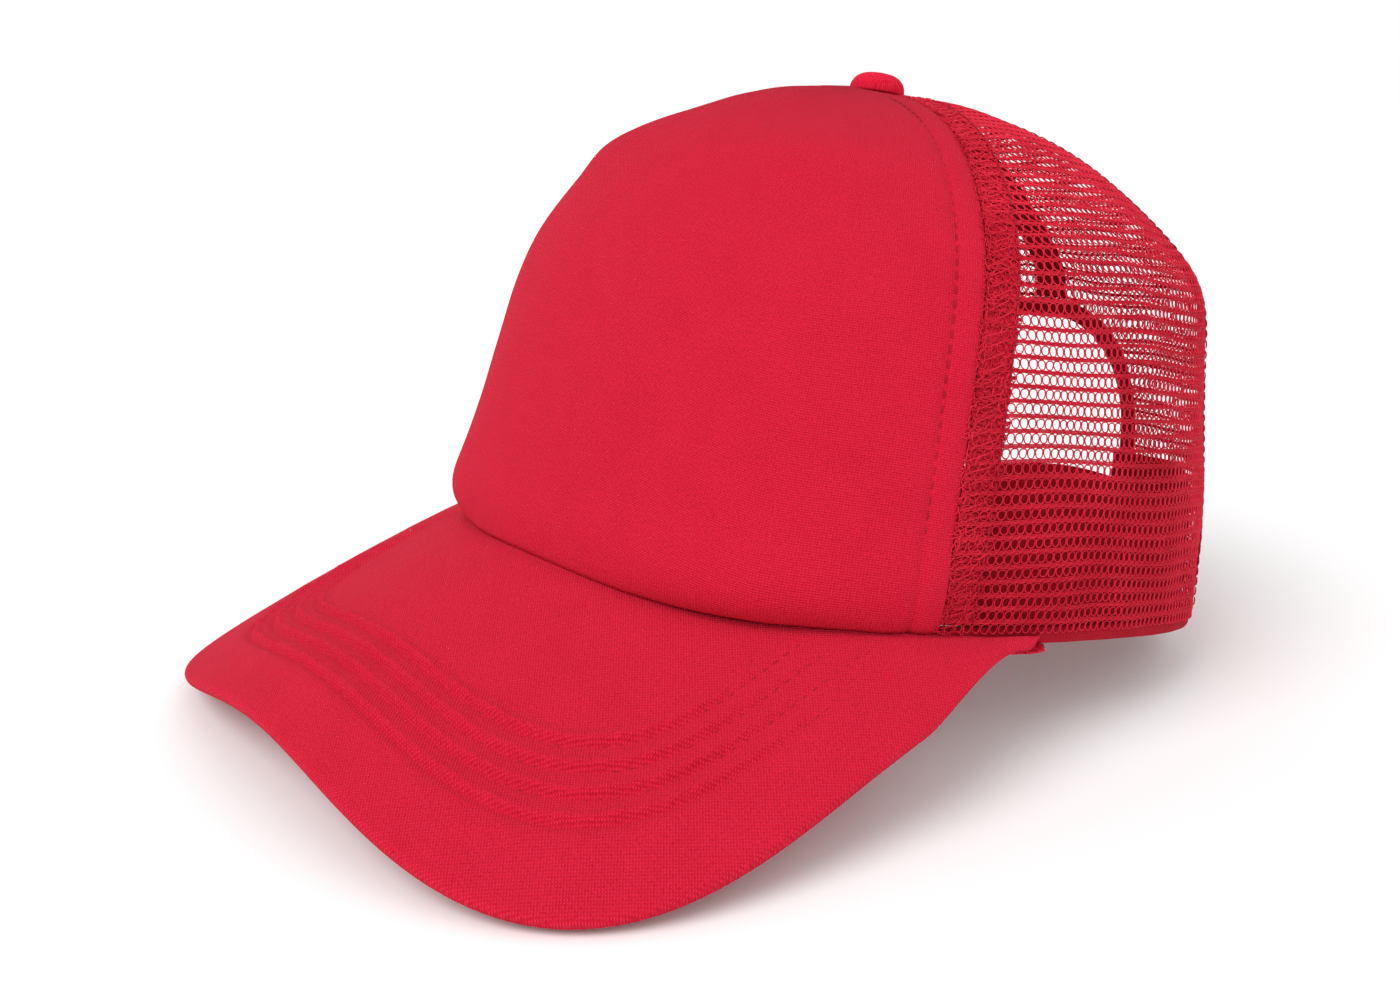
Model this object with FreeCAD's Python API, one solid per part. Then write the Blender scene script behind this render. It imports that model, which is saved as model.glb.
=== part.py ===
import FreeCAD, Part
import math
import os

# Trucker mesh cap: a foam-backed front panel, four mesh panels, a curved visor and a snap closure.
# Lengths are in millimetres and angles in degrees.
#
# Frame: +Z is up and Z = 0 is the table that the cap stands on, with its visor's two low corners and
# the back of its rim. -Y is the front and +X is the wearer's left. The origin is in the table plane,
# under the middle of the head opening.
#
# Crown coordinates: theta runs round the crown, 0 at the front, 90 at the wearer's left and 180 at
# the back; height t runs up it, 0 at the rim and 1 under the button. Depth is measured inwards from
# the crown's outer face.

# Rim of the head opening, a rounded superellipse, a little narrower in front
RIM_HALF_WIDTH = 92.0
RIM_HALF_LENGTH = 93.2
RIM_EGG = 0.045
RIM_POWER_FRONT = 2.1
RIM_POWER_BACK = 2.3
RIM_TAPE_HEIGHT = 2.5
RIM_TAPE = (1.05, 2.9)
RIM_LEAVES_VISOR_THETA = 45.5
SIDE_RIM_LIFT = 4.7

# Crown: each meridian is a cubic curve from the rim to the apex, given at the front, side and back
CROWN_HEIGHT = 141.6
APEX_BACKWARD = 16.9
LOWER_REACH = (0.868, 1.058, 0.939)
UPPER_REACH = (0.687, 0.757, 1.10)
LOWER_RISE = (0.412, 0.514, 0.579)
UPPER_DROP = (-0.095, 0.002, 0.134)
SHOULDER = (0.0, 0.035, 0.12)
SHOULDER_T = 0.457
SHOULDER_SPREAD = 0.13

# The front panel puffs out at its two front corners, high up and just above the rim
CORNER_THETA = 39.0
CORNER_SPREAD = 18.0
UPPER_CORNER = 0.08
UPPER_CORNER_T = 0.66
UPPER_CORNER_SPREAD = 0.09
LOWER_CORNER = 0.045
LOWER_CORNER_T = 0.05

# Seams between the panels, as theta at the rim, at mid height and at the top
FRONT_SEAM = (63.0, 71.1, 80.6)
SIDE_SEAM = (124.0, 128.0, 131.0)
SEAM_GAP = 0.12
TOP_HOLE_RADIUS = 3.0

# Layers of the crown, as depths
FABRIC = 0.6
FOAM = (0.62, 2.9)
FOAM_ABOVE_RIM = 1.2
MESH = 0.9
TAPE = (0.95, 1.45)
FRONT_TAPE = (2.95, 3.45)
TAPE_WIDTH = 11.0
TAPE_TO_BUTTON = 7.5
TAPE_TO_SWEATBAND = 2.0
SWEATBAND = (3.3, 4.8)
SWEATBAND_HEIGHT = 35.0

# Stitching: a thread is a thin ribbon lying just proud of the cloth
THREAD_WIDTH = 0.6
THREAD = (-0.30, -0.05)
TOPSTITCH_FRONT_OFFSET = 6.5
TOPSTITCH_MESH_OFFSET = 7.5
TOPSTITCH_TO_BUTTON = 6.0

# Visor: an arched plate that slopes forwards
VISOR_LENGTH = 66.0
VISOR_HALF_WIDTH = 97.2
VISOR_CORNER_POWER = 3.3
VISOR_WIDEST_FORWARD = 75.4
VISOR_PITCH = 18.4
VISOR_RIM_HEIGHT = 40.5
VISOR_SIDE_SLOPE = 0.47
VISOR_ARCH_SOFTNESS = 51.6
VISOR_END_THETA = 78.0
VISOR_END_PHI = 118.0
VISOR_DRAWN_IN = 0.65
VISOR_DRAWN_FROM = 0.84
VISOR_RIM_CLEARANCE = 1.004
VISOR_COVER = 0.7
VISOR_BOARD = 1.9
VISOR_EDGE = 1.0
VISOR_LAYER_GAP = 0.1
STITCH_ROWS = 4
STITCH_MARGIN = 15.2
STITCH_SPACING = 4.8
STITCH_END_V = 0.93

# Rear arched opening and its binding
ARCH_HALF_WIDTH = 34.0
ARCH_HEIGHT = 78.0
ARCH_TOP_RISE = 29.0
ARCH_CUT_FROM_Y = 30.0
ARCH_CUT_TO_Y = 150.0
ARCH_CUT_FOOT = -20.0
BINDING_WIDTH = 5.0
BINDING = (-0.4, 1.4)
BINDING_REACH_THETA = 45.0
BINDING_REACH_T = 0.75

# Snap closure: two moulded straps that overlap across the opening
STRAP_ABOVE_RIM = 1.0
STRAP_WIDTH = 18.0
STRAP_THICKNESS = 1.0
STRAP_SEWN_DEPTH = 1.5
STRAP_LAP = 1.9
STRAP_DRIFT = 0.6
TAB_LENGTH = 13.0
HINGE_GAP = 0.9
HINGE_INSET = 2.0
SNAP_PITCH = 9.0
SNAPS = 6
STRAP_TIP = 5.0
PEG_RADIUS = 1.9
PEG_HEIGHT = 2.5
HOLE_RADIUS = 2.9

# Button on the crown, leaning back with the fabric under it
BUTTON_RADIUS = 7.0
BUTTON_HEIGHT = 4.6
BUTTON_LEAN = 11.0
BUTTON_COVER = 0.7
BUTTON_SHELL = 0.5
BUTTON_BASE = 0.45
RIVET_HEAD = 0.8
RIVET_RADIUS = 1.5
WASHER_RADIUS = 6.0
WASHER_THICKNESS = 0.6
WASHER_GAP = 1.2

TINY = 1e-4
Vector = FreeCAD.Vector


# ------------------------------------------------------------------------------- crown surface
def by_side(sizes, theta):
    """A size given at the front, sides and back, blended smoothly round the crown."""
    front, side, back = sizes
    c = math.cos(theta)
    return front * max(c, 0) ** 2 + side * math.sin(theta) ** 2 + back * max(-c, 0) ** 2


def rim_outline(theta):
    """X and Y of the rim."""
    c, s = math.cos(theta), math.sin(theta)
    power = RIM_POWER_FRONT if c > 0 else RIM_POWER_BACK
    size = (abs(c) ** power + abs(s) ** power) ** (-1 / power)
    return RIM_HALF_WIDTH * size * s * (1 - RIM_EGG * c), -RIM_HALF_LENGTH * size * c


def visor_height(x, y):
    """Height of the visor's top face: it slopes forwards and arches from side to side."""
    forward = -y - RIM_HALF_LENGTH
    arch = VISOR_SIDE_SLOPE * (math.hypot(VISOR_ARCH_SOFTNESS, x) - VISOR_ARCH_SOFTNESS)
    return VISOR_RIM_HEIGHT - forward * math.tan(math.radians(VISOR_PITCH)) - arch


def rim_height(theta):
    """Height of the panels' lower edge: on the visor's arch in front, then down to the table at the back."""
    x, y = rim_outline(theta)
    leave_x, leave_y = rim_outline(math.radians(RIM_LEAVES_VISOR_THETA))
    if y < leave_y:
        return visor_height(x, y)
    to_front = (RIM_HALF_LENGTH - y) / (RIM_HALF_LENGTH - leave_y)
    lift = SIDE_RIM_LIFT * 4 * to_front * (1 - to_front)
    return RIM_TAPE_HEIGHT + (visor_height(leave_x, leave_y) - RIM_TAPE_HEIGHT) * to_front + lift


def corner_puff(theta, t):
    """Share by which the crown stands out further at its front corners."""
    corner = math.exp(-(((abs(math.degrees(theta)) - CORNER_THETA) / CORNER_SPREAD) ** 2))
    upper = UPPER_CORNER * math.exp(-(((t - UPPER_CORNER_T) / UPPER_CORNER_SPREAD) ** 2))
    lower = LOWER_CORNER * t / LOWER_CORNER_T * math.exp(1 - t / LOWER_CORNER_T)
    return corner * (upper + lower)


def crown(theta, t):
    """A point of the crown's outer face."""
    x, y = rim_outline(theta)
    low = rim_height(theta)
    u = 1 - t
    reach = u**3 + 3 * u * u * t * by_side(LOWER_REACH, theta) + 3 * u * t * t * by_side(UPPER_REACH, theta)
    reach *= 1 + by_side(SHOULDER, theta) * math.exp(-(((t - SHOULDER_T) / SHOULDER_SPREAD) ** 2))
    reach *= 1 + corner_puff(theta, t)
    rise = low + CROWN_HEIGHT * by_side(LOWER_RISE, theta)
    drop = CROWN_HEIGHT * (1 - by_side(UPPER_DROP, theta))
    z = u**3 * low + 3 * u * u * t * rise + 3 * u * t * t * drop + t**3 * CROWN_HEIGHT
    return Vector(x * reach, APEX_BACKWARD + (y - APEX_BACKWARD) * reach, z)


def seam_theta(seam, t):
    """Theta of a seam at height t: a parabola through its three given angles."""
    rim, middle, top = (math.radians(a) for a in seam)
    return rim * (1 - t) * (1 - 2 * t) + middle * 4 * t * (1 - t) + top * t * (2 * t - 1)


def radius_at(theta, t):
    """Distance of a crown point from the crown's axis, through the apex."""
    p = crown(theta, t)
    return math.hypot(p.x, p.y - APEX_BACKWARD)


def sweep_at(theta, t):
    """How far a crown point moves per radian of theta."""
    return (crown(theta + TINY, t) - crown(theta - TINY, t)).Length / (2 * TINY)


def t_where(theta, reached):
    """The height t from which reached(t) is true, found by halving."""
    low, high = 0.0, 1.0
    for _ in range(30):
        middle = (low + high) / 2
        if reached(middle):
            high = middle
        else:
            low = middle
    return high


def t_at_radius(theta, radius):
    return t_where(theta, lambda t: t > 0.5 and radius_at(theta, t) < radius)


def t_above_rim(theta, height):
    start = crown(theta, 0)
    return t_where(theta, lambda t: (crown(theta, t) - start).Length > height)


# ------------------------------------------------------------------------------- solids
def offset_point(surface, u, v, depth):
    """The point of surface(u, v), moved inwards by depth."""
    along_u = surface(u + TINY, v) - surface(u - TINY, v)
    along_v = surface(u, v + TINY) - surface(u, v - TINY)
    return surface(u, v) - along_u.cross(along_v).normalize() * depth


def skin(surface, depth, columns, rows):
    """A spline surface through a grid of offset points."""
    grid = []
    for i in range(columns + 1):
        grid.append([offset_point(surface, i / columns, j / rows, depth(i / columns)) for j in range(rows + 1)])
    made = Part.BSplineSurface()
    made.interpolate(grid)
    return made


def layer(surface, outer, inner, columns=16, rows=16):
    """A closed solid between two depths of surface(u, v), with u and v from 0 to 1."""
    depths = [d if callable(d) else (lambda u, fixed=d: fixed) for d in (outer, inner)]
    near, far = (skin(surface, depth, columns, rows) for depth in depths)
    faces = [near.toShape(), far.toShape()]
    u0, u1, v0, v1 = near.bounds()
    a0, a1, b0, b1 = far.bounds()
    for near_edge, far_edge in (
        (near.uIso(u0), far.uIso(a0)),
        (near.uIso(u1), far.uIso(a1)),
        (near.vIso(v0), far.vIso(b0)),
        (near.vIso(v1), far.vIso(b1)),
    ):
        faces.append(Part.makeRuledSurface(near_edge.toShape(), far_edge.toShape()))
    shell = Part.makeShell(faces)
    shell.sewShape()
    solid = Part.makeSolid(shell)
    if solid.Volume < 0:
        solid.reverse()
    return solid


def mirrored(shape):
    return shape.mirror(Vector(0, 0, 0), Vector(1, 0, 0))


def save(name, shape):
    shape.exportStep("parts/" + name + ".step")
    print(f"{name}: {len(shape.Solids)} solid(s), {shape.Volume:.1f} mm3, valid {shape.isValid()}")


def save_pair(name, left_shape):
    """The wearer's left piece and its mirror image."""
    save(name + "_left", left_shape)
    save(name + "_right", mirrored(left_shape))


# ------------------------------------------------------------------------------- crown pieces
def between(theta_from, theta_to, t_from, t_to):
    """A patch of the crown: theta limits are functions of t, and t limits functions of theta."""

    def surface(u, v):
        guess = theta_from(0.5) + u * (theta_to(0.5) - theta_from(0.5))
        t = t_from(guess) + v * (t_to(guess) - t_from(guess))
        theta = theta_from(t) + u * (theta_to(t) - theta_from(t))
        return crown(theta, t)

    return surface


def bottom(theta):
    return 0.0


def top(theta):
    return t_at_radius(theta, TOP_HOLE_RADIUS)


def beside(seam, distance):
    """Theta of a line at a fixed distance from a seam, positive towards the back."""

    def theta(t):
        middle = seam_theta(seam, t)
        return middle + distance / max(sweep_at(middle, t), TOP_HOLE_RADIUS)

    return theta


def centre_back(distance):
    return lambda t: math.pi - distance / max(sweep_at(math.pi, t), TOP_HOLE_RADIUS)


def arch_prism(margin):
    """The arched opening's outline grown by a margin, run through the cap's back."""
    half_width = ARCH_HALF_WIDTH + margin
    spring = ARCH_HEIGHT - ARCH_TOP_RISE
    foot = ARCH_CUT_FOOT
    start_y = ARCH_CUT_FROM_Y
    corners = [
        Vector(-half_width, start_y, spring),
        Vector(-half_width, start_y, foot),
        Vector(half_width, start_y, foot),
        Vector(half_width, start_y, spring),
    ]
    edges = [Part.LineSegment(a, b).toShape() for a, b in zip(corners, corners[1:])]
    summit = Vector(0, start_y, ARCH_HEIGHT + margin)
    ellipse = Part.Ellipse(corners[3], summit, Vector(0, start_y, spring))
    edges.append(Part.ArcOfEllipse(ellipse, 0, math.pi).toShape())
    return Part.Face(Part.Wire(edges)).extrude(Vector(0, ARCH_CUT_TO_Y - start_y, 0))


def front_panel():
    left = beside(FRONT_SEAM, -SEAM_GAP)

    def right(t):
        return -left(t)

    surface = between(right, left, bottom, top)
    save("front_panel_fabric", layer(surface, 0, FABRIC, 40, 20))

    def foam_bottom(theta):
        return t_above_rim(theta, FOAM_ABOVE_RIM)

    backed = between(right, left, foam_bottom, top)
    save("front_panel_foam", layer(backed, FOAM[0], FOAM[1], 40, 20))


def mesh_panels():
    side = between(beside(FRONT_SEAM, SEAM_GAP), beside(SIDE_SEAM, -SEAM_GAP), bottom, top)
    save_pair("side_mesh", layer(side, 0, MESH, 16, 20))
    rear = between(beside(SIDE_SEAM, SEAM_GAP), centre_back(SEAM_GAP), bottom, top)
    opening = arch_prism(BINDING_WIDTH)
    save_pair("rear_mesh", layer(rear, 0, MESH, 16, 20).cut(opening).Solids[0])


def seam_tapes():
    half = TAPE_WIDTH / 2

    def below_button(theta):
        return t_at_radius(theta, BUTTON_RADIUS + TAPE_TO_BUTTON)

    def above_band(theta):
        return t_above_rim(theta, SWEATBAND_HEIGHT + TAPE_TO_SWEATBAND)

    front = between(beside(FRONT_SEAM, -half), beside(FRONT_SEAM, half), above_band, below_button)
    save_pair("front_seam_tape", layer(front, FRONT_TAPE[0], FRONT_TAPE[1], 4, 20))
    side = between(beside(SIDE_SEAM, -half), beside(SIDE_SEAM, half), bottom, below_button)
    save_pair("side_seam_tape", layer(side, TAPE[0], TAPE[1], 4, 20))
    back = between(centre_back(half), centre_back(-half), bottom, below_button)
    opening = arch_prism(BINDING_WIDTH)
    save("rear_seam_tape", layer(back, TAPE[0], TAPE[1], 4, 20).cut(opening).Solids[0])


def arch_binding():
    reach = math.radians(BINDING_REACH_THETA)

    def patch(u, v):
        return crown(math.pi + reach * (2 * u - 1), BINDING_REACH_T * v)

    ring = arch_prism(BINDING_WIDTH - SEAM_GAP).cut(arch_prism(0))
    save("rear_arch_binding", layer(patch, BINDING[0], BINDING[1], 24, 20).common(ring).Solids[0])


def opening_edge():
    """Theta of the rear opening's edge at the wearer's left, at the rim."""
    low, high = math.pi / 2, math.pi
    for _ in range(30):
        middle = (low + high) / 2
        if crown(middle, 0).x > ARCH_HALF_WIDTH:
            low = middle
        else:
            high = middle
    return high


def sweatband():
    end = opening_edge() - 2.0 / RIM_HALF_LENGTH

    def from_right(t):
        return -end

    def to_left(t):
        return end

    def highest(theta):
        return t_above_rim(theta, SWEATBAND_HEIGHT)

    band = between(from_right, to_left, bottom, highest)
    save("sweatband", layer(band, SWEATBAND[0], SWEATBAND[1], 60, 8))


def rim_tape():
    """The tape that edges the panels below, set back behind the visor's end and open at the rear arch."""
    end = opening_edge() - 0.5 / RIM_HALF_LENGTH

    def surface(u, v):
        theta = end * (2 * u - 1)
        x, y = rim_outline(theta)
        return Vector(x, y, rim_height(theta) - SEAM_GAP - RIM_TAPE_HEIGHT * (1 - v))

    save("rim_tape", layer(surface, RIM_TAPE[0], RIM_TAPE[1], 60, 3))


def topstitching():
    half = THREAD_WIDTH / 2

    def highest(theta):
        return t_at_radius(theta, BUTTON_RADIUS + TOPSTITCH_TO_BUTTON)

    for name, distance in (
        ("topstitch_front", -TOPSTITCH_FRONT_OFFSET),
        ("topstitch_mesh", TOPSTITCH_MESH_OFFSET),
    ):
        line = between(beside(FRONT_SEAM, distance - half), beside(FRONT_SEAM, distance + half), bottom, highest)
        save_pair(name, layer(line, THREAD[0], THREAD[1], 1, 24))


# ------------------------------------------------------------------------------- visor
def visor_outline(phi):
    """X and Y of the visor's front edge; phi is 0 at the middle of the front."""
    half_width = VISOR_HALF_WIDTH
    forward = RIM_HALF_LENGTH + VISOR_LENGTH - VISOR_WIDEST_FORWARD
    c, s = math.cos(phi), math.sin(phi)
    power = VISOR_CORNER_POWER
    size = (abs(c) ** power + abs(s) ** power) ** (-1 / power)
    return half_width * size * s, -VISOR_WIDEST_FORWARD - forward * size * c


def smooth(x):
    x = min(max(x, 0.0), 1.0)
    return x * x * (3 - 2 * x)


def visor_plate(u, v):
    """The visor's top face: u runs from the wearer's right to left and v from the edge to the rim.

    Towards its two ends the edge is drawn in to meet the rim."""
    across = 2 * u - 1
    theta = math.radians(VISOR_END_THETA) * across
    out_x, out_y = visor_outline(math.radians(VISOR_END_PHI) * across)
    in_x, in_y = (c * VISOR_RIM_CLEARANCE for c in rim_outline(theta))
    drawn_in = VISOR_DRAWN_IN * smooth((abs(across) - VISOR_DRAWN_FROM) / (1 - VISOR_DRAWN_FROM))
    share = drawn_in + (1 - drawn_in) * v
    x = out_x + (in_x - out_x) * share
    y = out_y + (in_y - out_y) * share
    to_rim = rim_height(theta) - visor_height(in_x, in_y)
    towards_end = across**6
    return Vector(x, y, visor_height(x, y) + to_rim * (towards_end + (1 - towards_end) * v**3))


def board_plate(u, v):
    """The part of the visor's face that its board covers, set back from the covers' front edge."""
    reach = (visor_plate(u, 1) - visor_plate(u, 0)).Length
    start = VISOR_EDGE / reach
    return visor_plate(u, start + (1 - start) * v)


def visor():
    board_top = VISOR_COVER + VISOR_LAYER_GAP
    board_low = board_top + VISOR_BOARD
    save("visor_top_cover", layer(visor_plate, 0, VISOR_COVER, 48, 10))
    save("visor_board", layer(board_plate, board_top, board_low, 48, 10))
    bottom_top = board_low + VISOR_LAYER_GAP
    save("visor_bottom_cover", layer(visor_plate, bottom_top, bottom_top + VISOR_COVER, 48, 10))
    for row in range(STITCH_ROWS):
        inset = STITCH_MARGIN + (STITCH_ROWS - 1 - row) * STITCH_SPACING
        save(f"visor_stitch_row_{row + 1}", stitch_row(inset))


def stitch_v(u, inset):
    """The v at which the visor's top face reaches the stitch line at that inset from the front edge."""
    half_width = VISOR_HALF_WIDTH - inset
    forward = RIM_HALF_LENGTH + VISOR_LENGTH - VISOR_WIDEST_FORWARD - inset
    low, high = 0.0, 1.0
    for _ in range(24):
        middle = (low + high) / 2
        p = visor_plate(u, middle)
        ahead = max(-p.y - VISOR_WIDEST_FORWARD, 0)
        if (abs(p.x) / half_width) ** VISOR_CORNER_POWER + (ahead / forward) ** VISOR_CORNER_POWER > 1:
            low = middle
        else:
            high = middle
    return high


def stitch_row(inset):
    """A row of stitching parallel to the visor's front edge, ending short of the crown at each side."""
    low, high = 0.2, 0.5
    for _ in range(16):
        middle = (low + high) / 2
        if stitch_v(0.5 + middle, inset) < STITCH_END_V:
            low = middle
        else:
            high = middle
    reach = low

    def surface(u, v):
        at = 0.5 + reach * (2 * u - 1)
        return visor_plate(at, stitch_v(at, inset + (v - 0.5) * THREAD_WIDTH))

    return layer(surface, THREAD[0], THREAD[1], 60, 1)


# ------------------------------------------------------------------------------- button
def revolved(profile):
    """A solid turned about the Z axis from a closed outline of (radius, height) corners."""
    points = [Vector(r, 0, z) for r, z in profile]
    wire = Part.makePolygon(points + points[:1])
    return Part.Face(wire).revolve(Vector(0, 0, 0), Vector(0, 0, 1), 360)


def dome(radius, height, base):
    """A low dome: the upper part of a ball cut flat at base."""
    ball = (radius**2 + height**2) / (2 * height)
    cap = Part.makeSphere(ball, Vector(0, 0, base + height - ball))
    box = Part.makeBox(4 * ball, 4 * ball, 4 * ball, Vector(-2 * ball, -2 * ball, base))
    return cap.common(box)


def on_crown(shape):
    """Moves a piece made about the Z axis onto the top of the crown, leaning back with it."""
    placed = shape.copy()
    placed.rotate(Vector(0, 0, 0), Vector(1, 0, 0), -BUTTON_LEAN)
    placed.translate(Vector(0, APEX_BACKWARD, CROWN_HEIGHT))
    return placed


def button():
    base = BUTTON_BASE
    shell_radius = BUTTON_RADIUS - BUTTON_COVER
    shell_height = BUTTON_HEIGHT - BUTTON_COVER
    shell_outer = dome(shell_radius, shell_height, base)
    shell_inner = dome(shell_radius - BUTTON_SHELL, shell_height - BUTTON_SHELL, base)
    save("button_cover", on_crown(dome(BUTTON_RADIUS, BUTTON_HEIGHT, base).cut(shell_outer)))
    save("button_shell", on_crown(shell_outer.cut(shell_inner)))
    inside = -FOAM[1] - WASHER_GAP
    washer_low = inside - WASHER_THICKNESS
    head_top = base + shell_height - BUTTON_SHELL
    rivet = revolved(
        [
            (0, washer_low - RIVET_HEAD),
            (RIVET_RADIUS * 1.8, washer_low - RIVET_HEAD),
            (RIVET_RADIUS * 1.8, washer_low),
            (RIVET_RADIUS, washer_low),
            (RIVET_RADIUS, head_top - RIVET_HEAD),
            (0, head_top - RIVET_HEAD),
        ]
    )
    save("button_rivet", on_crown(rivet))
    washer = revolved(
        [
            (RIVET_RADIUS + 0.05, washer_low),
            (WASHER_RADIUS, washer_low),
            (WASHER_RADIUS, inside),
            (RIVET_RADIUS + 0.05, inside),
        ]
    )
    save("button_washer", on_crown(washer))


# ------------------------------------------------------------------------------- snap closure
def strap_theta(distance):
    """Theta at a distance along the rim from the middle of the back, positive to the wearer's right."""
    return math.pi + distance / RIM_HALF_LENGTH


def strap_point(distance, height):
    """The point of the crown's outer face at that distance and height above the rim."""
    theta = strap_theta(distance)
    return crown(theta, t_above_rim(theta, height))


def strap_surface(start, finish):
    """The part of the crown's outer face that a strap follows between two distances."""

    def surface(u, v):
        return strap_point(start + (finish - start) * u, STRAP_ABOVE_RIM + STRAP_WIDTH * v)

    return surface


def strap_depth(distance, lap):
    """Depth of a strap's outer face: both straps lean the same way, so that one laps the other."""
    return STRAP_SEWN_DEPTH + lap - STRAP_DRIFT * (1 + distance / ARCH_HALF_WIDTH)


def strap_band(start, finish, lap):
    """The free part of a strap."""

    def outer(u):
        return strap_depth(start + (finish - start) * u, lap)

    def inner(u):
        return outer(u) + STRAP_THICKNESS

    return layer(strap_surface(start, finish), outer, inner, 24, 3)


def strap_tab(start, finish, hinge, lap):
    """The sewn end of a strap, at one depth behind the mesh."""
    depth = strap_depth(hinge, lap)
    return layer(strap_surface(start, finish), depth, depth + STRAP_THICKNESS, 8, 3)


def peg(distance, radius, start_depth, end_depth):
    """A round peg square to the strap, from one depth outwards to another."""
    middle = STRAP_ABOVE_RIM + STRAP_WIDTH / 2

    def surface(u, v):
        return strap_point(distance + u, middle + v)

    start = offset_point(surface, 0, 0, start_depth)
    outwards = offset_point(surface, 0, 0, start_depth - 1) - start
    return Part.makeCylinder(radius, start_depth - end_depth, start, outwards)


def print_hinge(name, distance, lap):
    """Reports a hinge line: through the strap's mid thickness, along the lean of the cap's wall."""
    depth = strap_depth(distance, lap) + STRAP_THICKNESS / 2
    surface = strap_surface(distance, distance + 1)
    low, high = (offset_point(surface, 0, v, depth) for v in (0, 1))
    axis = (high - low).normalize()
    middle = (low + high) / 2
    print(f"{name}: pos {[round(c, 4) for c in middle]} axis {[round(c, 6) for c in axis]}")


def snap_closure():
    """Two straps, their sewn ends, and the pegs that stand on one and pass through holes in the other."""
    hinge = ARCH_HALF_WIDTH - HINGE_INSET
    sewn_end = ARCH_HALF_WIDTH + TAB_LENGTH
    engaged_reach = (SNAPS - 2) / 2
    tip = engaged_reach * SNAP_PITCH + STRAP_TIP
    holes = [SNAP_PITCH * (k - engaged_reach - 1) for k in range(SNAPS)]

    hole_strap = strap_band(-hinge, tip, 0)
    for distance in holes:
        depth = strap_depth(distance, 0)
        hole_strap = hole_strap.cut(peg(distance, HOLE_RADIUS, depth + 3, depth - 3))
    save("hole_strap", hole_strap.Solids[0])
    save("hole_strap_tab", strap_tab(-sewn_end, -hinge - HINGE_GAP, -hinge, 0))

    peg_strap = strap_band(-tip, hinge, STRAP_LAP)
    for number, distance in enumerate(holes, 1):
        face = strap_depth(-distance, STRAP_LAP)
        standing = peg(-distance, PEG_RADIUS, face + STRAP_THICKNESS / 2, face - PEG_HEIGHT)
        save(f"snap_peg_{number}", standing.cut(peg_strap).Solids[0])
    save("peg_strap", peg_strap)
    save("peg_strap_tab", strap_tab(hinge + HINGE_GAP, sewn_end, hinge, STRAP_LAP))

    print_hinge("hole strap hinge", -hinge, 0)
    print_hinge("peg strap hinge", hinge, STRAP_LAP)


os.makedirs("parts", exist_ok=True)
front_panel()
mesh_panels()
seam_tapes()
arch_binding()
sweatband()
rim_tape()
topstitching()
visor()
button()
snap_closure()
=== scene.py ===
import math

import bmesh
import bpy
import numpy as np
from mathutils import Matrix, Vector

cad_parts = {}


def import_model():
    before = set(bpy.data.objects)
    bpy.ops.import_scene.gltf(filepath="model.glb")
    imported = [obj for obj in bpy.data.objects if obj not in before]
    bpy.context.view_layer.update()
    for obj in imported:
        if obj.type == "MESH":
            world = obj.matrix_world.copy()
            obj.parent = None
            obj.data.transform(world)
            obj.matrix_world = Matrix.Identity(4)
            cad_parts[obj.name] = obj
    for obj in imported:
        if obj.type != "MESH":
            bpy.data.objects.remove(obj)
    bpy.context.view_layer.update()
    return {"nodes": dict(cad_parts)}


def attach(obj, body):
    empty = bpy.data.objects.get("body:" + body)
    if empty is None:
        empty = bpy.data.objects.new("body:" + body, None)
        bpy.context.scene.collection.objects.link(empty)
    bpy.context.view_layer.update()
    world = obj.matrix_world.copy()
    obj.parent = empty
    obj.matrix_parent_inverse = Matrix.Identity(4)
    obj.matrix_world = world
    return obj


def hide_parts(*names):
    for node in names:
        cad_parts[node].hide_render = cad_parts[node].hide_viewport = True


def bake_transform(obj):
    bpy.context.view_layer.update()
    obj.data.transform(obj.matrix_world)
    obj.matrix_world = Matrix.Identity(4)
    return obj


# Trucker mesh cap: the looks of every piece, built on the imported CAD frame.
# Shapes are worked out in millimetres and turned into metres when a mesh is made. -Y is the front,
# +X the wearer's left. On the crown, theta runs round from the front, t up from the rim to the
# button, and depth inwards from the outer face, all as in the CAD model.

MM = 0.001

# Shape of the crown, the visor and the rear opening, as in the CAD model
RIM_HALF_WIDTH = 92.0
RIM_HALF_LENGTH = 93.2
RIM_EGG = 0.045
RIM_POWER_FRONT = 2.1
RIM_POWER_BACK = 2.3
RIM_TAPE_HEIGHT = 2.5
RIM_TAPE = (1.05, 2.9)
RIM_LEAVES_VISOR_THETA = 45.5
SIDE_RIM_LIFT = 4.7
CROWN_HEIGHT = 141.6
APEX_BACKWARD = 16.9
LOWER_REACH = (0.868, 1.058, 0.939)
UPPER_REACH = (0.687, 0.757, 1.10)
LOWER_RISE = (0.412, 0.514, 0.579)
UPPER_DROP = (-0.095, 0.002, 0.134)
SHOULDER = (0.0, 0.035, 0.12)
SHOULDER_T = 0.457
SHOULDER_SPREAD = 0.13
CORNER_THETA = 39.0
CORNER_SPREAD = 18.0
UPPER_CORNER = 0.08
UPPER_CORNER_T = 0.66
UPPER_CORNER_SPREAD = 0.09
LOWER_CORNER = 0.045
LOWER_CORNER_T = 0.05
FRONT_SEAM = (63.0, 71.1, 80.6)
SIDE_SEAM = (124.0, 128.0, 131.0)
BACK_SEAM = (180.0, 180.0, 180.0)
TOP_RADIUS = 3.0
SWEATBAND = (3.3, 4.8)
SWEATBAND_HEIGHT = 35.0
TAPE = (0.95, 1.45)
FRONT_TAPE = (2.95, 3.45)
TAPE_WIDTH = 11.0
TAPE_TO_BUTTON = 7.5
TOPSTITCH_FRONT = 6.5
TOPSTITCH_MESH = 7.5
VISOR_LENGTH = 66.0
VISOR_HALF_WIDTH = 97.2
VISOR_CORNER_POWER = 3.3
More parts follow.
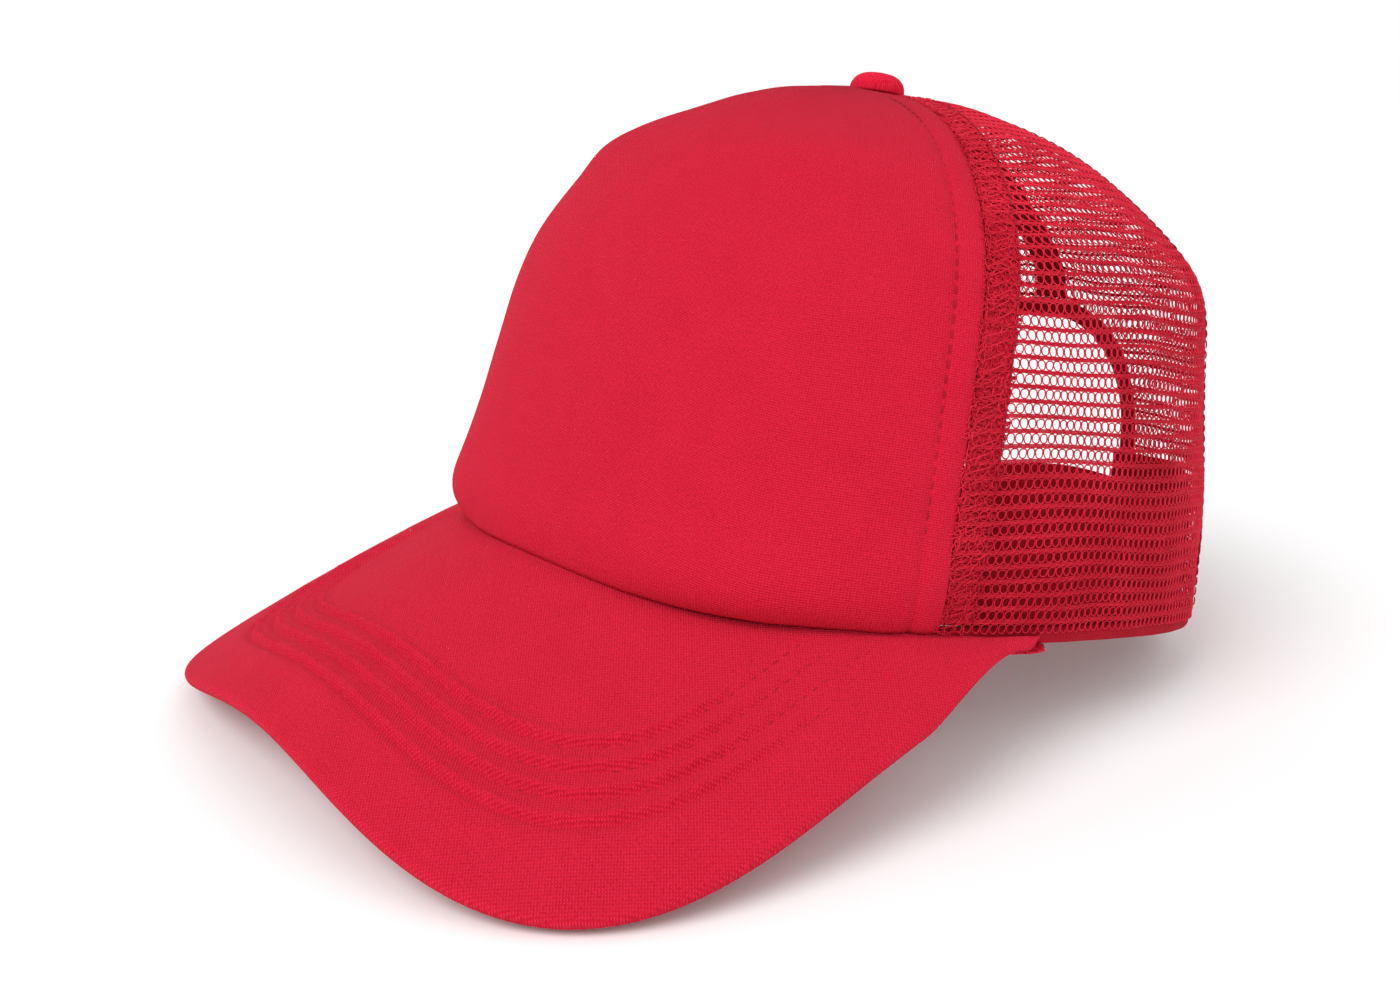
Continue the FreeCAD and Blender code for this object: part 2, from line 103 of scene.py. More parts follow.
VISOR_WIDEST_FORWARD = 75.4
VISOR_FORWARD = RIM_HALF_LENGTH + VISOR_LENGTH - VISOR_WIDEST_FORWARD
VISOR_PITCH = 18.4
VISOR_RIM_HEIGHT = 40.5
VISOR_SIDE_SLOPE = 0.47
VISOR_ARCH_SOFTNESS = 51.6
VISOR_END_THETA = 78.0
VISOR_END_PHI = 118.0
VISOR_DRAWN_IN = 0.65
VISOR_DRAWN_FROM = 0.84
VISOR_RIM_CLEARANCE = 1.004
VISOR_THICKNESS = 3.5
STITCH_ROWS = 4
STITCH_MARGIN = 15.2
STITCH_SPACING = 4.8
STITCH_END_V = 0.93
ARCH_HALF_WIDTH = 34.0
ARCH_HEIGHT = 78.0
ARCH_TOP_RISE = 29.0
BINDING_WIDTH = 5.0
STRAP_ABOVE_RIM = 1.0
STRAP_WIDTH = 18.0
STRAP_THICKNESS = 1.0
STRAP_SEWN_DEPTH = 1.5
STRAP_LAP = 1.9
STRAP_DRIFT = 0.6
TAB_LENGTH = 13.0
HINGE_GAP = 0.9
HINGE_INSET = 2.0
SNAPS = 6
BUTTON_RADIUS = 7.0
BUTTON_HEIGHT = 4.6
BUTTON_LEAN = 11.0
BUTTON_BASE = 0.45

# The knitted net: rings of yarn in staggered rows, with finer yarn running between the rows
NET_PITCH = 2.1
NET_ROW = 3.2
NET_RING = (1.90, 2.22)
NET_YARN = 0.18
NET_FINE_YARN = 0.17
NET_SQUARENESS = 0.82
NET_DEPTH = 0.45
RING_SIDES = 10
YARN_SIDES = 3

# Cloth relief
STITCH_PITCH = 3.1
STITCH_LENGTH = 2.3
THREAD = 0.2
GROOVE_DEPTH = 0.65
GROOVE_WIDTH = 0.8
PUFF = 0.95
ROW_LIFT = 0.2
EDGE_ROLL = 1.7
SEAM_TURN = 1.3

# Thickness of the cloth, and the t at which the lines of stitching start above the rim
CLOTH = 0.4
LINE_START = 0.012

# Rough sizes of the crown's wall, which turn t and theta into mm for ripples and cloth coordinates
WALL_HEIGHT = 150.0
WALL_RADIUS = 90.0
CLOTH_RADIUS = 88.0

# Small step in theta, t, u or v, for slopes
STEP = 1e-4

SIDES = (("left", 1), ("right", -1))

# Camera: it looks at the crown from the wearer's left front, a little from above
CAMERA_AZIMUTH = 51.12
CAMERA_ELEVATION = 15.84
CAMERA_DISTANCE = 380.0
CAMERA_SIDEWAYS = -32.1
CAMERA_HEIGHT = 36.2
CAMERA_LENS = 36.19

# Lights: name, azimuth, elevation, strength and angular size; and the strength of the white sky
LIGHTS = (("key", 5, 48, 1.75, 40), ("fill", 95, 35, 0.5, 60))
SKY_LIGHT = 0.70

RED = (0.77, 0.008, 0.034)
# The sweatband's red is darkened as painted shade, for the shade it lies in behind the net.
SWEATBAND_RED_SHADED = (0.42, 0.004, 0.013)
NET_RED = (0.92, 0.010, 0.040)
TAPE_RED = (0.46, 0.005, 0.018)
THREAD_RED = (0.44, 0.004, 0.017)
FOAM_WHITE = (0.80, 0.78, 0.74)
STEEL = (0.62, 0.62, 0.64)

# ------------------------------------------------------------------------------- crown surface


def by_side(sizes, theta):
    """A size given at the front, sides and back, blended round the crown."""
    front, side, back = sizes
    c = np.cos(theta)
    return front * np.maximum(c, 0) ** 2 + side * np.sin(theta) ** 2 + back * np.maximum(-c, 0) ** 2


def rim_outline(theta):
    c, s = np.cos(theta), np.sin(theta)
    power = np.where(c > 0, RIM_POWER_FRONT, RIM_POWER_BACK)
    size = (np.abs(c) ** power + np.abs(s) ** power) ** (-1 / power)
    return RIM_HALF_WIDTH * size * s * (1 - RIM_EGG * c), -RIM_HALF_LENGTH * size * c


def visor_height(x, y):
    forward = -y - RIM_HALF_LENGTH
    arch = VISOR_SIDE_SLOPE * (np.hypot(VISOR_ARCH_SOFTNESS, x) - VISOR_ARCH_SOFTNESS)
    return VISOR_RIM_HEIGHT - forward * math.tan(math.radians(VISOR_PITCH)) - arch


def rim_height(theta):
    x, y = rim_outline(theta)
    leave_x, leave_y = rim_outline(np.array(math.radians(RIM_LEAVES_VISOR_THETA)))
    to_front = (RIM_HALF_LENGTH - y) / (RIM_HALF_LENGTH - leave_y)
    lift = SIDE_RIM_LIFT * 4 * to_front * (1 - to_front)
    behind = RIM_TAPE_HEIGHT + (visor_height(leave_x, leave_y) - RIM_TAPE_HEIGHT) * to_front + lift
    return np.where(y < leave_y, visor_height(x, y), behind)


def corner_puff(theta, t):
    """Share by which the crown stands out further at its front corners."""
    corner = np.exp(-(((np.abs(np.degrees(theta)) - CORNER_THETA) / CORNER_SPREAD) ** 2))
    upper = UPPER_CORNER * np.exp(-(((t - UPPER_CORNER_T) / UPPER_CORNER_SPREAD) ** 2))
    lower = LOWER_CORNER * t / LOWER_CORNER_T * np.exp(1 - t / LOWER_CORNER_T)
    return corner * (upper + lower)


def crown(theta, t):
    """Points of the crown's outer face."""
    theta, t = np.broadcast_arrays(np.asarray(theta, float), np.asarray(t, float))
    x, y = rim_outline(theta)
    low = rim_height(theta)
    u = 1 - t
    reach = u**3 + 3 * u * u * t * by_side(LOWER_REACH, theta) + 3 * u * t * t * by_side(UPPER_REACH, theta)
    reach = reach * (1 + by_side(SHOULDER, theta) * np.exp(-(((t - SHOULDER_T) / SHOULDER_SPREAD) ** 2)))
    reach = reach * (1 + corner_puff(theta, t))
    rise = low + CROWN_HEIGHT * by_side(LOWER_RISE, theta)
    drop = CROWN_HEIGHT * (1 - by_side(UPPER_DROP, theta))
    z = u**3 * low + 3 * u * u * t * rise + 3 * u * t * t * drop + t**3 * CROWN_HEIGHT
    return np.stack([x * reach, APEX_BACKWARD + (y - APEX_BACKWARD) * reach, z], -1)


def unit(vectors):
    return vectors / np.maximum(np.linalg.norm(vectors, axis=-1, keepdims=True), 1e-12)


def crown_normal(theta, t):
    round_it = crown(theta + STEP, t) - crown(theta - STEP, t)
    up_it = crown(theta, t + STEP) - crown(theta, t - STEP)
    return unit(np.cross(round_it, up_it))


def in_crown(theta, t, depth):
    """Points at a depth inside the crown's outer face."""
    return crown(theta, t) - crown_normal(theta, t) * np.asarray(depth)[..., None]


def sweep(theta, t):
    """How far a crown point moves per radian of theta, in mm."""
    moved = np.linalg.norm(crown(theta + STEP, t) - crown(theta - STEP, t), axis=-1) / (2 * STEP)
    return np.maximum(moved, TOP_RADIUS)


def seam(angles, t, distance=0.0):
    """Theta of a line beside a seam, at a distance in mm towards the back."""
    rim, middle, top = (math.radians(a) for a in angles)
    theta = rim * (1 - t) * (1 - 2 * t) + middle * 4 * t * (1 - t) + top * t * (2 * t - 1)
    return theta + distance / sweep(theta, t)


def length_along(points):
    steps = np.linalg.norm(np.diff(points, axis=0), axis=-1)
    return np.concatenate([[0.0], np.cumsum(steps)])


def t_at_height(theta, height):
    """The t that lies that far above the rim, measured along the wall."""
    t = np.linspace(0, 1, 300)
    return np.interp(height, length_along(crown(np.full_like(t, theta), t)), t)


def t_at_radius(theta, radius):
    t = np.linspace(0.5, 1, 400)
    points = crown(np.full_like(t, theta), t)
    return np.interp(-radius, -np.hypot(points[:, 0], points[:, 1] - APEX_BACKWARD), t)


def ripple(a, b, size, seed):
    """Gentle irregularity between about -1 and 1, with waves of about that size in mm."""
    rng = np.random.default_rng(seed)
    total = np.zeros(np.broadcast(a, b).shape)
    for _ in range(5):
        angle, phase = rng.uniform(0, 2 * math.pi, 2)
        wave = size * rng.uniform(0.6, 1.5)
        total = total + np.sin((a * math.cos(angle) + b * math.sin(angle)) * 2 * math.pi / wave + phase)
    return total / 3


def smooth(x):
    x = np.clip(x, 0, 1)
    return x * x * (3 - 2 * x)


# ------------------------------------------------------------------------------- mesh building


def mesh_object(name, points, faces, uv=None, side=1):
    """A mesh from points in mm. side -1 makes the mirror image, for the wearer's right."""
    points = np.asarray(points, float).reshape(-1, 3) * MM
    faces = np.asarray(faces)
    if side < 0:
        points = points * (-1, 1, 1)
        faces = faces[:, ::-1]
    data = bpy.data.meshes.new(name)
    data.from_pydata(points.tolist(), [], faces.tolist())
    if uv is not None:
        layer = data.uv_layers.new(name="cloth")
        corners = np.empty(len(data.loops), np.int32)
        data.loops.foreach_get("vertex_index", corners)
        layer.data.foreach_set("uv", np.asarray(uv, np.float32).reshape(-1, 2)[corners].ravel())
    data.shade_smooth()
    piece = bpy.data.objects.new(name, data)
    bpy.context.scene.collection.objects.link(piece)
    return piece


def grid_faces(rows, columns, wrap_rows=False, wrap_columns=False):
    i = np.arange(rows if wrap_rows else rows - 1)[:, None]
    j = np.arange(columns if wrap_columns else columns - 1)[None, :]
    i2, j2 = (i + 1) % rows, (j + 1) % columns
    quads = [i * columns + j, i2 * columns + j, i2 * columns + j2, i * columns + j2]
    return np.stack([q + 0 * (i + j) for q in quads], -1).reshape(-1, 4)


def grid_normals(points):
    along = np.gradient(points, axis=0)
    across = np.gradient(points, axis=1)
    return unit(np.cross(along, across))


def closed_sheet(name, front, thickness, uv, side=1):
    """A sheet of cloth with two faces and a rim; front is a grid of points of its outer face."""
    back = front - grid_normals(front) * thickness
    rows, columns = front.shape[:2]
    faces = grid_faces(rows, columns)
    count = rows * columns
    index = np.arange(count).reshape(rows, columns)
    rim = np.concatenate([index[:, 0], index[-1, 1:], index[-2::-1, -1], index[0, -2:0:-1]])
    after = np.roll(rim, -1)
    walls = np.stack([rim, rim + count, after + count, after], -1)
    points = np.concatenate([front.reshape(-1, 3), back.reshape(-1, 3)])
    faces = np.concatenate([faces, faces[:, ::-1] + count, walls])
    piece = mesh_object(name, points, faces, np.concatenate([uv.reshape(-1, 2)] * 2), side)
    finish_mesh(piece)
    return piece


def finish_mesh(piece, fill=False, merge=False):
    """Merges points that coincide, fills open ends and turns the faces outwards."""
    bm = bmesh.new()
    bm.from_mesh(piece.data)
    if merge:
        bmesh.ops.remove_doubles(bm, verts=bm.verts, dist=1e-6)
    if fill:
        bmesh.ops.holes_fill(bm, edges=[e for e in bm.edges if e.is_boundary])
    bmesh.ops.recalc_face_normals(bm, faces=bm.faces)
    bm.to_mesh(piece.data)
    bm.free()


def tape(name, place, along, width, depth, side=1, points_round=28, squareness=0.4):
    """A tape with rounded edges. place(along, across, depth) gives points; across runs over width."""
    turn = np.linspace(0, 2 * math.pi, points_round, endpoint=False)
    edge = np.sign(np.cos(turn)) * np.abs(np.cos(turn)) ** squareness
    face = np.sign(np.sin(turn)) * np.abs(np.sin(turn)) ** squareness
    across = (width[0] + width[1]) / 2 + (width[1] - width[0]) / 2 * edge
    deep = (depth[0] + depth[1]) / 2 - (depth[1] - depth[0]) / 2 * face
    a, c = np.meshgrid(along, across, indexing="ij")
    d = np.broadcast_to(deep, a.shape)
    points = place(a, c, d)
    faces = grid_faces(len(along), points_round, wrap_columns=True)
    run = length_along(points[:, 0])
    uv = np.stack([np.broadcast_to(run[:, None], a.shape), c], -1)
    piece = mesh_object(name, points, faces, uv, side)
    finish_mesh(piece, fill=True)
    return piece


def stitches(name, lines, side=1, pitch=STITCH_PITCH, length=STITCH_LENGTH, radius=THREAD):
    """Lock stitches along lines; each line is (points, normals), and a stitch dips in at both ends."""
    rings = np.array([-0.5, -0.36, 0.0, 0.36, 0.5])
    swell = np.array([0.35, 0.9, 1.0, 0.9, 0.35])
    dip = np.array([-1.6, -0.5, 0.0, -0.5, -1.6])
    turn = np.linspace(0, 2 * math.pi, 6, endpoint=False)
    all_points = []
    all_faces = []
    base = 0
    faces = grid_faces(len(rings), len(turn), wrap_columns=True)
    for points, normals in lines:
        run = length_along(points)
        middles = np.arange(pitch / 2, run[-1], pitch)

        def at(s, values):
            return np.stack([np.interp(s, run, values[:, k]) for k in range(3)], -1)

        centre = at(middles[:, None] + rings * length, points)
        up = unit(at(middles[:, None] + rings * length, normals))
        along = unit(at(middles + 0.3, points) - at(middles - 0.3, points))[:, None, :]
        sideways = np.cross(along, up)
        centre = centre + up * (dip * radius)[None, :, None]
        ring = sideways[:, :, None, :] * np.cos(turn)[:, None] + up[:, :, None, :] * np.sin(turn)[:, None]
        made = centre[:, :, None, :] + ring * (swell * radius)[None, :, None, None]
        per = len(rings) * len(turn)
        all_points.append(made.reshape(-1, 3))
        offsets = base + per * np.arange(len(middles))
        all_faces.append((faces[None] + offsets[:, None, None]).reshape(-1, 4))
        base += per * len(middles)
    return mesh_object(name, np.concatenate(all_points), np.concatenate(all_faces), None, side)


# ------------------------------------------------------------------------------- the net


def panel_plane(from_seam, to_seam):
    """Flat coordinates on a mesh panel: y runs up its middle from the rim and x square to that."""
    t = np.linspace(0, 1, 400)
    middle = (seam(from_seam, t) + seam(to_seam, t)) / 2
    height = length_along(crown(middle, t))

    def find(x, y):
        at = np.interp(y, height, t)
        centre = np.interp(at, t, middle)
        return centre + x / sweep(centre, at), at

    return find, height


def net_cells(from_seam, to_seam, shift=(0.0, 0.0), keep=None):
    """Centres of the net's rings in a panel's flat coordinates, staggered row by row."""
    find, height = panel_plane(from_seam, to_seam)
    top = height[-1] - TOP_RADIUS
    rows = np.arange(int(top / NET_ROW))
    columns = np.arange(-36, 37)
    row, column = np.meshgrid(rows, columns, indexing="ij")
    x = (column + 0.5 * (row % 2)) * NET_PITCH + shift[0]
    y = (row + 0.45) * NET_ROW + shift[1] + 0.6 * ripple(x, row * NET_ROW, 42, 3) * smooth(row / 3)
    theta, t = find(x, y)
    slack = 0.5 * NET_PITCH
    inside = (theta > seam(from_seam, t, -slack)) & (theta < seam(to_seam, t, slack))
    inside &= t < 1 - 1e-3
    if keep is not None:
        inside &= keep(theta, t)
    return x[inside], y[inside], row[inside]


def net_points(from_seam, to_seam, x, y, depth):
    """Places flat net coordinates on the crown, gathered in at the panel's seams and edges."""
    find, _ = panel_plane(from_seam, to_seam)
    theta, t = find(x, np.maximum(y, 0.0))
    theta = np.clip(theta, seam(from_seam, t, 0.15), seam(to_seam, t, -0.15))
    return in_crown(theta, t, depth + 0.3 * ripple(x, y, 19, 4))


def yarn_faces(count, along, wrap):
    faces = grid_faces(along, YARN_SIDES, wrap_rows=wrap, wrap_columns=True)
    starts = along * YARN_SIDES * np.arange(count)
    return (faces[None] + starts[:, None, None]).reshape(-1, 4)


def net_rings(x, y, row, seed):
    """Flat coordinates of the rings: every second row is pinched below, as the knit pulls it."""
    rng = np.random.default_rng(seed)
    angle = np.linspace(0, 2 * math.pi, RING_SIDES, endpoint=False)[None, :, None]
    around = np.linspace(math.pi / 2, math.pi * 2.5, YARN_SIDES, endpoint=False)[None, None, :]
    wide = NET_RING[0] / 2 * rng.uniform(0.93, 1.05, (len(x), 1, 1))
    high = NET_RING[1] / 2 * rng.uniform(0.90, 1.08, (len(x), 1, 1))
    pinch = np.where(row % 2 == 0, 0.16, 0.02)[:, None, None]
    lean = rng.uniform(-0.12, 0.12, (len(x), 1, 1))
    out = NET_YARN * np.cos(around)
    c, s = np.cos(angle), np.sin(angle)
    squarish_c = np.sign(c) * np.abs(c) ** NET_SQUARENESS
    squarish_s = np.sign(s) * np.abs(s) ** NET_SQUARENESS
    px = x[:, None, None] + (wide + out) * squarish_c * (1 + pinch * s)
    py = y[:, None, None] + (high + out) * squarish_s
    px = px + lean * (py - y[:, None, None])
    deep = NET_DEPTH - NET_YARN * np.sin(around) + 0.08 * np.cos(2 * angle)
    return px, py, np.broadcast_to(deep, px.shape)


def net_lines(start, finish, radius, depth):
    """Flat coordinates of straight bits of yarn from start to finish."""
    a, b = np.stack(start, -1), np.stack(finish, -1)
    along = unit(b - a)
    sideways = np.stack([-along[:, 1], along[:, 0]], -1)[:, None, None, :]
    around = np.linspace(math.pi / 2, math.pi * 2.5, YARN_SIDES, endpoint=False)
    ends = np.stack([a, b], 1)[:, :, None, :]
    flat = ends + sideways * (radius * np.cos(around))[None, None, :, None]
    deep = np.broadcast_to(depth - radius * np.sin(around), flat.shape[:3])
    return flat[..., 0], flat[..., 1], deep


def net_part(from_seam, to_seam, cells, extra_depth, seed):
    """Points and faces of one layer of net."""
    x, y, row = cells
    high = NET_RING[1] / 2
    parts = [(net_rings(x, y, row, seed), RING_SIDES, True)]
    lean = 0.5 * NET_PITCH + 0.2
    for sign in (-1, 1):
        start = (x + 0.25 * sign, y + high + 0.1)
        finish = (x + lean * sign, y + NET_ROW - high - 0.1)
        parts.append((net_lines(start, finish, NET_FINE_YARN, NET_DEPTH - 0.08 * sign), 2, False))
    for above_middle in (-0.3, 0.0, 0.3):
        level = y + NET_ROW / 2 + above_middle
        start = (x - NET_PITCH / 2, level)
        finish = (x + NET_PITCH / 2, level)
        parts.append((net_lines(start, finish, NET_FINE_YARN, NET_DEPTH + 0.3 * above_middle), 2, False))
    points = []
    faces = []
    base = 0
    for (px, py, deep), along, wrap in parts:
        made = net_points(from_seam, to_seam, px, py, deep + extra_depth).reshape(-1, 3)
        points.append(made)
        faces.append(yarn_faces(len(px), along, wrap) + base)
        base += len(made)
    return np.concatenate(points), np.concatenate(faces)


def laid_yarn(theta, t, depth, radius):
    """Points and faces of thin yarns on the crown: each row of theta, t and depth is one of them."""
    centre = in_crown(theta, t, depth)
    normal = crown_normal(theta, t)
    sideways = np.cross(unit(np.gradient(centre, axis=1)), normal)
    around = np.linspace(0, 2 * math.pi, YARN_SIDES, endpoint=False)
    ring = sideways[:, :, None] * np.cos(around)[:, None] + normal[:, :, None] * np.sin(around)[:, None]
    points = centre[:, :, None] + radius * ring
    return points.reshape(-1, 3), yarn_faces(*theta.shape, False)


def frayed_ends(from_distance, to_distance, count, seed):
    """Loose ends of cut yarn along the front seam, as short bent hairs."""
    rng = np.random.default_rng(seed)
    t = rng.uniform(0.0, 0.93, count)
    start = rng.uniform(from_distance, to_distance, count)
    heading = rng.uniform(0, 2 * math.pi, count)
    steps = 4
    size = rng.uniform(0.35, 0.8, count)
    across = [start]
    up = [np.zeros(count)]
    for _ in range(steps - 1):
        heading = heading + rng.uniform(-0.7, 0.7, count)
        across.append(across[-1] + size * np.cos(heading))
        up.append(up[-1] + size * np.sin(heading))
    across, up = np.stack(across, 1), np.stack(up, 1)
    at = np.clip(t[:, None] + up / 160, 0, 0.97)
    lift = 0.1 + 0.35 * np.sin(np.linspace(0, math.pi, steps))[None, :] * rng.uniform(0.2, 1, (count, 1))
    return laid_yarn(seam(FRONT_SEAM, at, across), at, 0.15 - lift, 0.09)


def overlock(seed):
    """Slanting threads of the overlock stitch that closes the front seam, one for each row of net."""
    rng = np.random.default_rng(seed)
    t = np.linspace(0, 1, 300)
    height = length_along(crown(seam(FRONT_SEAM, t), t))
    start = np.arange(1.5, 0.93 * height[-1], NET_ROW * 0.8)
    along = np.linspace(0, 1, 5)
    across = 0.3 + rng.uniform(4.5, 6.0, (len(start), 1)) * along
    up = start[:, None] + rng.uniform(1.2, 2.8, (len(start), 1)) * along
    at = np.interp(up, height, t)
    theta = seam(FRONT_SEAM, at, across)
    depth = np.broadcast_to(0.25 - 0.25 * np.sin(along * math.pi), theta.shape)
    return laid_yarn(theta, at, depth, 0.15)


def seam_allowances(fabric):
    """The front panel's cloth turned back under the net beside each front seam."""
    along = np.linspace(LINE_START, t_at_radius(math.radians(FRONT_SEAM[2]), TOP_RADIUS + 3), 160)

    def place(t, across, deep):
        return in_crown(seam(FRONT_SEAM, t, across), t, deep + 0.1 * ripple(t * WALL_HEIGHT, across, 7, 33))

    for name, side in SIDES:
        width = (0.4, TOPSTITCH_MESH + 0.9)
        piece = tape(f"front_allowance_{name}", place, along, width, (1.0, 1.5), side)
        dress(piece, fabric)


def joined(parts):
    points = []
    faces = []
    base = 0
    for p, f in parts:
        points.append(p)
        faces.append(f + base)
        base += len(p)
    return np.concatenate(points), np.concatenate(faces)


def side_nets(material):
    cells = net_cells(FRONT_SEAM, SIDE_SEAM)

    def near_seam(theta, t):
        return theta < seam(FRONT_SEAM, t, TOPSTITCH_MESH + 1.0)

    doubled = net_cells(FRONT_SEAM, SIDE_SEAM, (0.5 * NET_PITCH, 0.5 * NET_ROW), near_seam)
    parts = [
        net_part(FRONT_SEAM, SIDE_SEAM, cells, 0.0, 11),
        net_part(FRONT_SEAM, SIDE_SEAM, doubled, 0.55, 12),
        frayed_ends(0.0, TOPSTITCH_MESH + 0.6, 520, 13),
        frayed_ends(-0.4, 1.2, 640, 14),
        overlock(15),
    ]
    points, faces = joined(parts)
    for name, side in SIDES:
        piece = mesh_object(f"side_net_{name}", points, faces, None, side)
        dress(piece, material, "side_mesh_" + name)


def in_arch(points, margin):
    """True where points lie within the rear opening's outline grown by a margin."""
    x, z = np.abs(points[..., 0]), points[..., 2]
    spring = ARCH_HEIGHT - ARCH_TOP_RISE
    upper = np.maximum(z - spring, 0) / (ARCH_TOP_RISE + margin)
    return (x / (ARCH_HALF_WIDTH + margin)) ** 2 + upper**2 < 1


def rear_nets(material):
    def outside_arch(theta, t):
        return ~in_arch(crown(theta, t), BINDING_WIDTH - 1.5)

    cells = net_cells(SIDE_SEAM, BACK_SEAM, (0.3, 0.0), outside_arch)
    points, faces = net_part(SIDE_SEAM, BACK_SEAM, cells, 0.0, 21)
    for name, side in SIDES:
        piece = mesh_object(f"rear_net_{name}", points, faces, None, side)
        dress(piece, material, "rear_mesh_" + name)


# ------------------------------------------------------------------------------- front panel


def front_grid(columns, rows, low_t=0.0):
    """theta, t and the distance in mm from the nearer front seam, over the front panel."""
    spread = 0.5 - 0.5 * np.cos(np.linspace(0, math.pi, columns))
    t = np.linspace(low_t, t_at_radius(0.0, TOP_RADIUS + 0.5), rows)
    u, t = np.meshgrid(spread, t, indexing="ij")
    edge = seam(FRONT_SEAM, t, -0.15)
    theta = edge * (2 * u - 1)
    from_seam = (edge - np.abs(theta)) * sweep(edge, t)
    return theta, t, from_seam


def cloth_uv(theta, t):
    """Cloth coordinates in mm: round the crown and up it."""
    points = crown(theta, t)
    up = np.cumsum(np.linalg.norm(np.diff(points, axis=1, prepend=points[:, :1]), axis=-1), axis=1)
    return np.stack([theta * CLOTH_RADIUS, up], -1)


def front_panel(fabric, foam):
    theta, t, from_seam = front_grid(240, 150)
    above_rim = t * WALL_HEIGHT
    bulge = 0.9 * np.exp(-(((above_rim - 7) / 6.0) ** 2))
    tuck = 0.55 * np.exp(-above_rim / 0.8) + 0.45 * np.exp(-from_seam / 0.9)
    groove = 0.45 * np.exp(-(((from_seam - TOPSTITCH_FRONT) / 0.9) ** 2))
    puff = 0.25 * np.exp(-(((from_seam - TOPSTITCH_FRONT / 2) / 2.2) ** 2))
    puff = puff + 0.3 * np.exp(-(((from_seam - TOPSTITCH_FRONT - 5) / 4.0) ** 2))
    round_it = theta * WALL_RADIUS
    soft = 0.22 * ripple(round_it, above_rim, 60, 5) + 0.05 * ripple(round_it, above_rim, 11, 6)
    fade = smooth((1 - t) / 0.08)
    depth = tuck + (groove - puff - bulge) * fade - soft * fade * smooth(from_seam / 6)
    front = in_crown(theta, t, depth)
    piece = closed_sheet("front_panel_cloth", front, CLOTH, cloth_uv(theta, t))
    dress(piece, fabric, "front_panel_fabric")

    theta, t, from_seam = front_grid(120, 80, t_at_height(0.0, 1.6))
    quilt = 0.12 * ripple(theta * WALL_RADIUS, t * WALL_HEIGHT, 25, 8)
    front = in_crown(theta, t, 1.15 + quilt)
    padding = closed_sheet("front_panel_padding", front, 1.7, cloth_uv(theta, t))
    dress(padding, foam, "front_panel_foam")


def crown_line(angles, distance, low_t, high_t, depth, count=400):
    """A line of stitching beside a seam: its points and normals."""
    t = np.linspace(low_t, high_t, count)
    theta = seam(angles, t, distance)
    return in_crown(theta, t, np.full(count, depth)), crown_normal(theta, t)


def topstitching(thread):
    for name, distance, depth in (
        ("topstitch_front", -TOPSTITCH_FRONT, 0.28),
        ("topstitch_mesh", TOPSTITCH_MESH, 0.0),
    ):
        high = t_at_radius(math.radians(FRONT_SEAM[2]), BUTTON_RADIUS + 5)
        line = crown_line(FRONT_SEAM, distance, LINE_START, high, depth)
        for side_name, side in SIDES:
            piece = stitches(f"{name}_thread_{side_name}", [line], side)
            dress(piece, thread, f"{name}_{side_name}")


def seam_stitching(thread):
    """Rows of stitching that hold the side and rear seam tapes to the net."""
    high = t_at_radius(math.radians(SIDE_SEAM[2]), BUTTON_RADIUS + 3)
    lines = [crown_line(SIDE_SEAM, d, LINE_START, high, 0.08) for d in (-1.6, 1.6)]
    for side_name, side in SIDES:
        piece = stitches(f"side_seam_stitching_{side_name}", lines, side, 2.6, 1.9, 0.16)
        dress(piece, thread)
    low = arch_top_t(BINDING_WIDTH + 1)
    high = t_at_radius(math.pi, BUTTON_RADIUS + 3)
    lines = [crown_line(BACK_SEAM, d, low, high, 0.08) for d in (-3.4, 3.4)]
    dress(stitches("rear_seam_stitching", lines, 1, 2.6, 1.9, 0.16), thread)


# ------------------------------------------------------------------------------- tapes and bands


def arch_top_t(margin):
    t = np.linspace(0, 1, 500)
    return np.interp(ARCH_HEIGHT + margin, crown(np.full_like(t, math.pi), t)[:, 2], t)


def seam_tape(name, angles, low_t, high_t, depth, side, material, node):
    along = np.linspace(low_t, high_t, 120)

    def place(t, across, deep):
        return in_crown(seam(angles, t, across), t, deep + 0.06 * ripple(t * WALL_HEIGHT, across, 9, 31))

    half = TAPE_WIDTH / 2
    piece = tape(name, place, along, (-half, half), depth, side)
    dress(piece, material, node)


def seam_tapes(material):
    high = t_at_radius(math.radians(FRONT_SEAM[2]), BUTTON_RADIUS + TAPE_TO_BUTTON)
    low = t_at_height(math.radians(FRONT_SEAM[0]), SWEATBAND_HEIGHT + 2)
    for name, side in SIDES:
        front = f"front_seam_tape_{name}"
        seam_tape(f"front_tape_{name}", FRONT_SEAM, low, high, FRONT_TAPE, side, material, front)
        node = f"side_seam_tape_{name}"
        seam_tape(f"side_tape_{name}", SIDE_SEAM, 0.004, high, TAPE, side, material, node)
    low = arch_top_t(BINDING_WIDTH)
    seam_tape("rear_tape", BACK_SEAM, low, high, TAPE, 1, material, "rear_seam_tape")


def arch_path(along, margin):
    """X and Z of the rear opening's outline grown by a margin, from the wearer's left round to the right."""
    spring = ARCH_HEIGHT - ARCH_TOP_RISE
    leg = spring - 4.0
    curve = 0.5 * math.pi * (ARCH_HALF_WIDTH + ARCH_TOP_RISE) / 2 * 2
    total = 2 * leg + curve
    run = along * total
    turn = np.clip((run - leg) / curve, 0, 1) * math.pi
    x = (ARCH_HALF_WIDTH + margin) * np.cos(turn)
    z = spring + (ARCH_TOP_RISE + margin) * np.sin(turn)
    z = z - np.maximum(leg - run, 0) - np.maximum(run - leg - curve, 0)
    return x, z


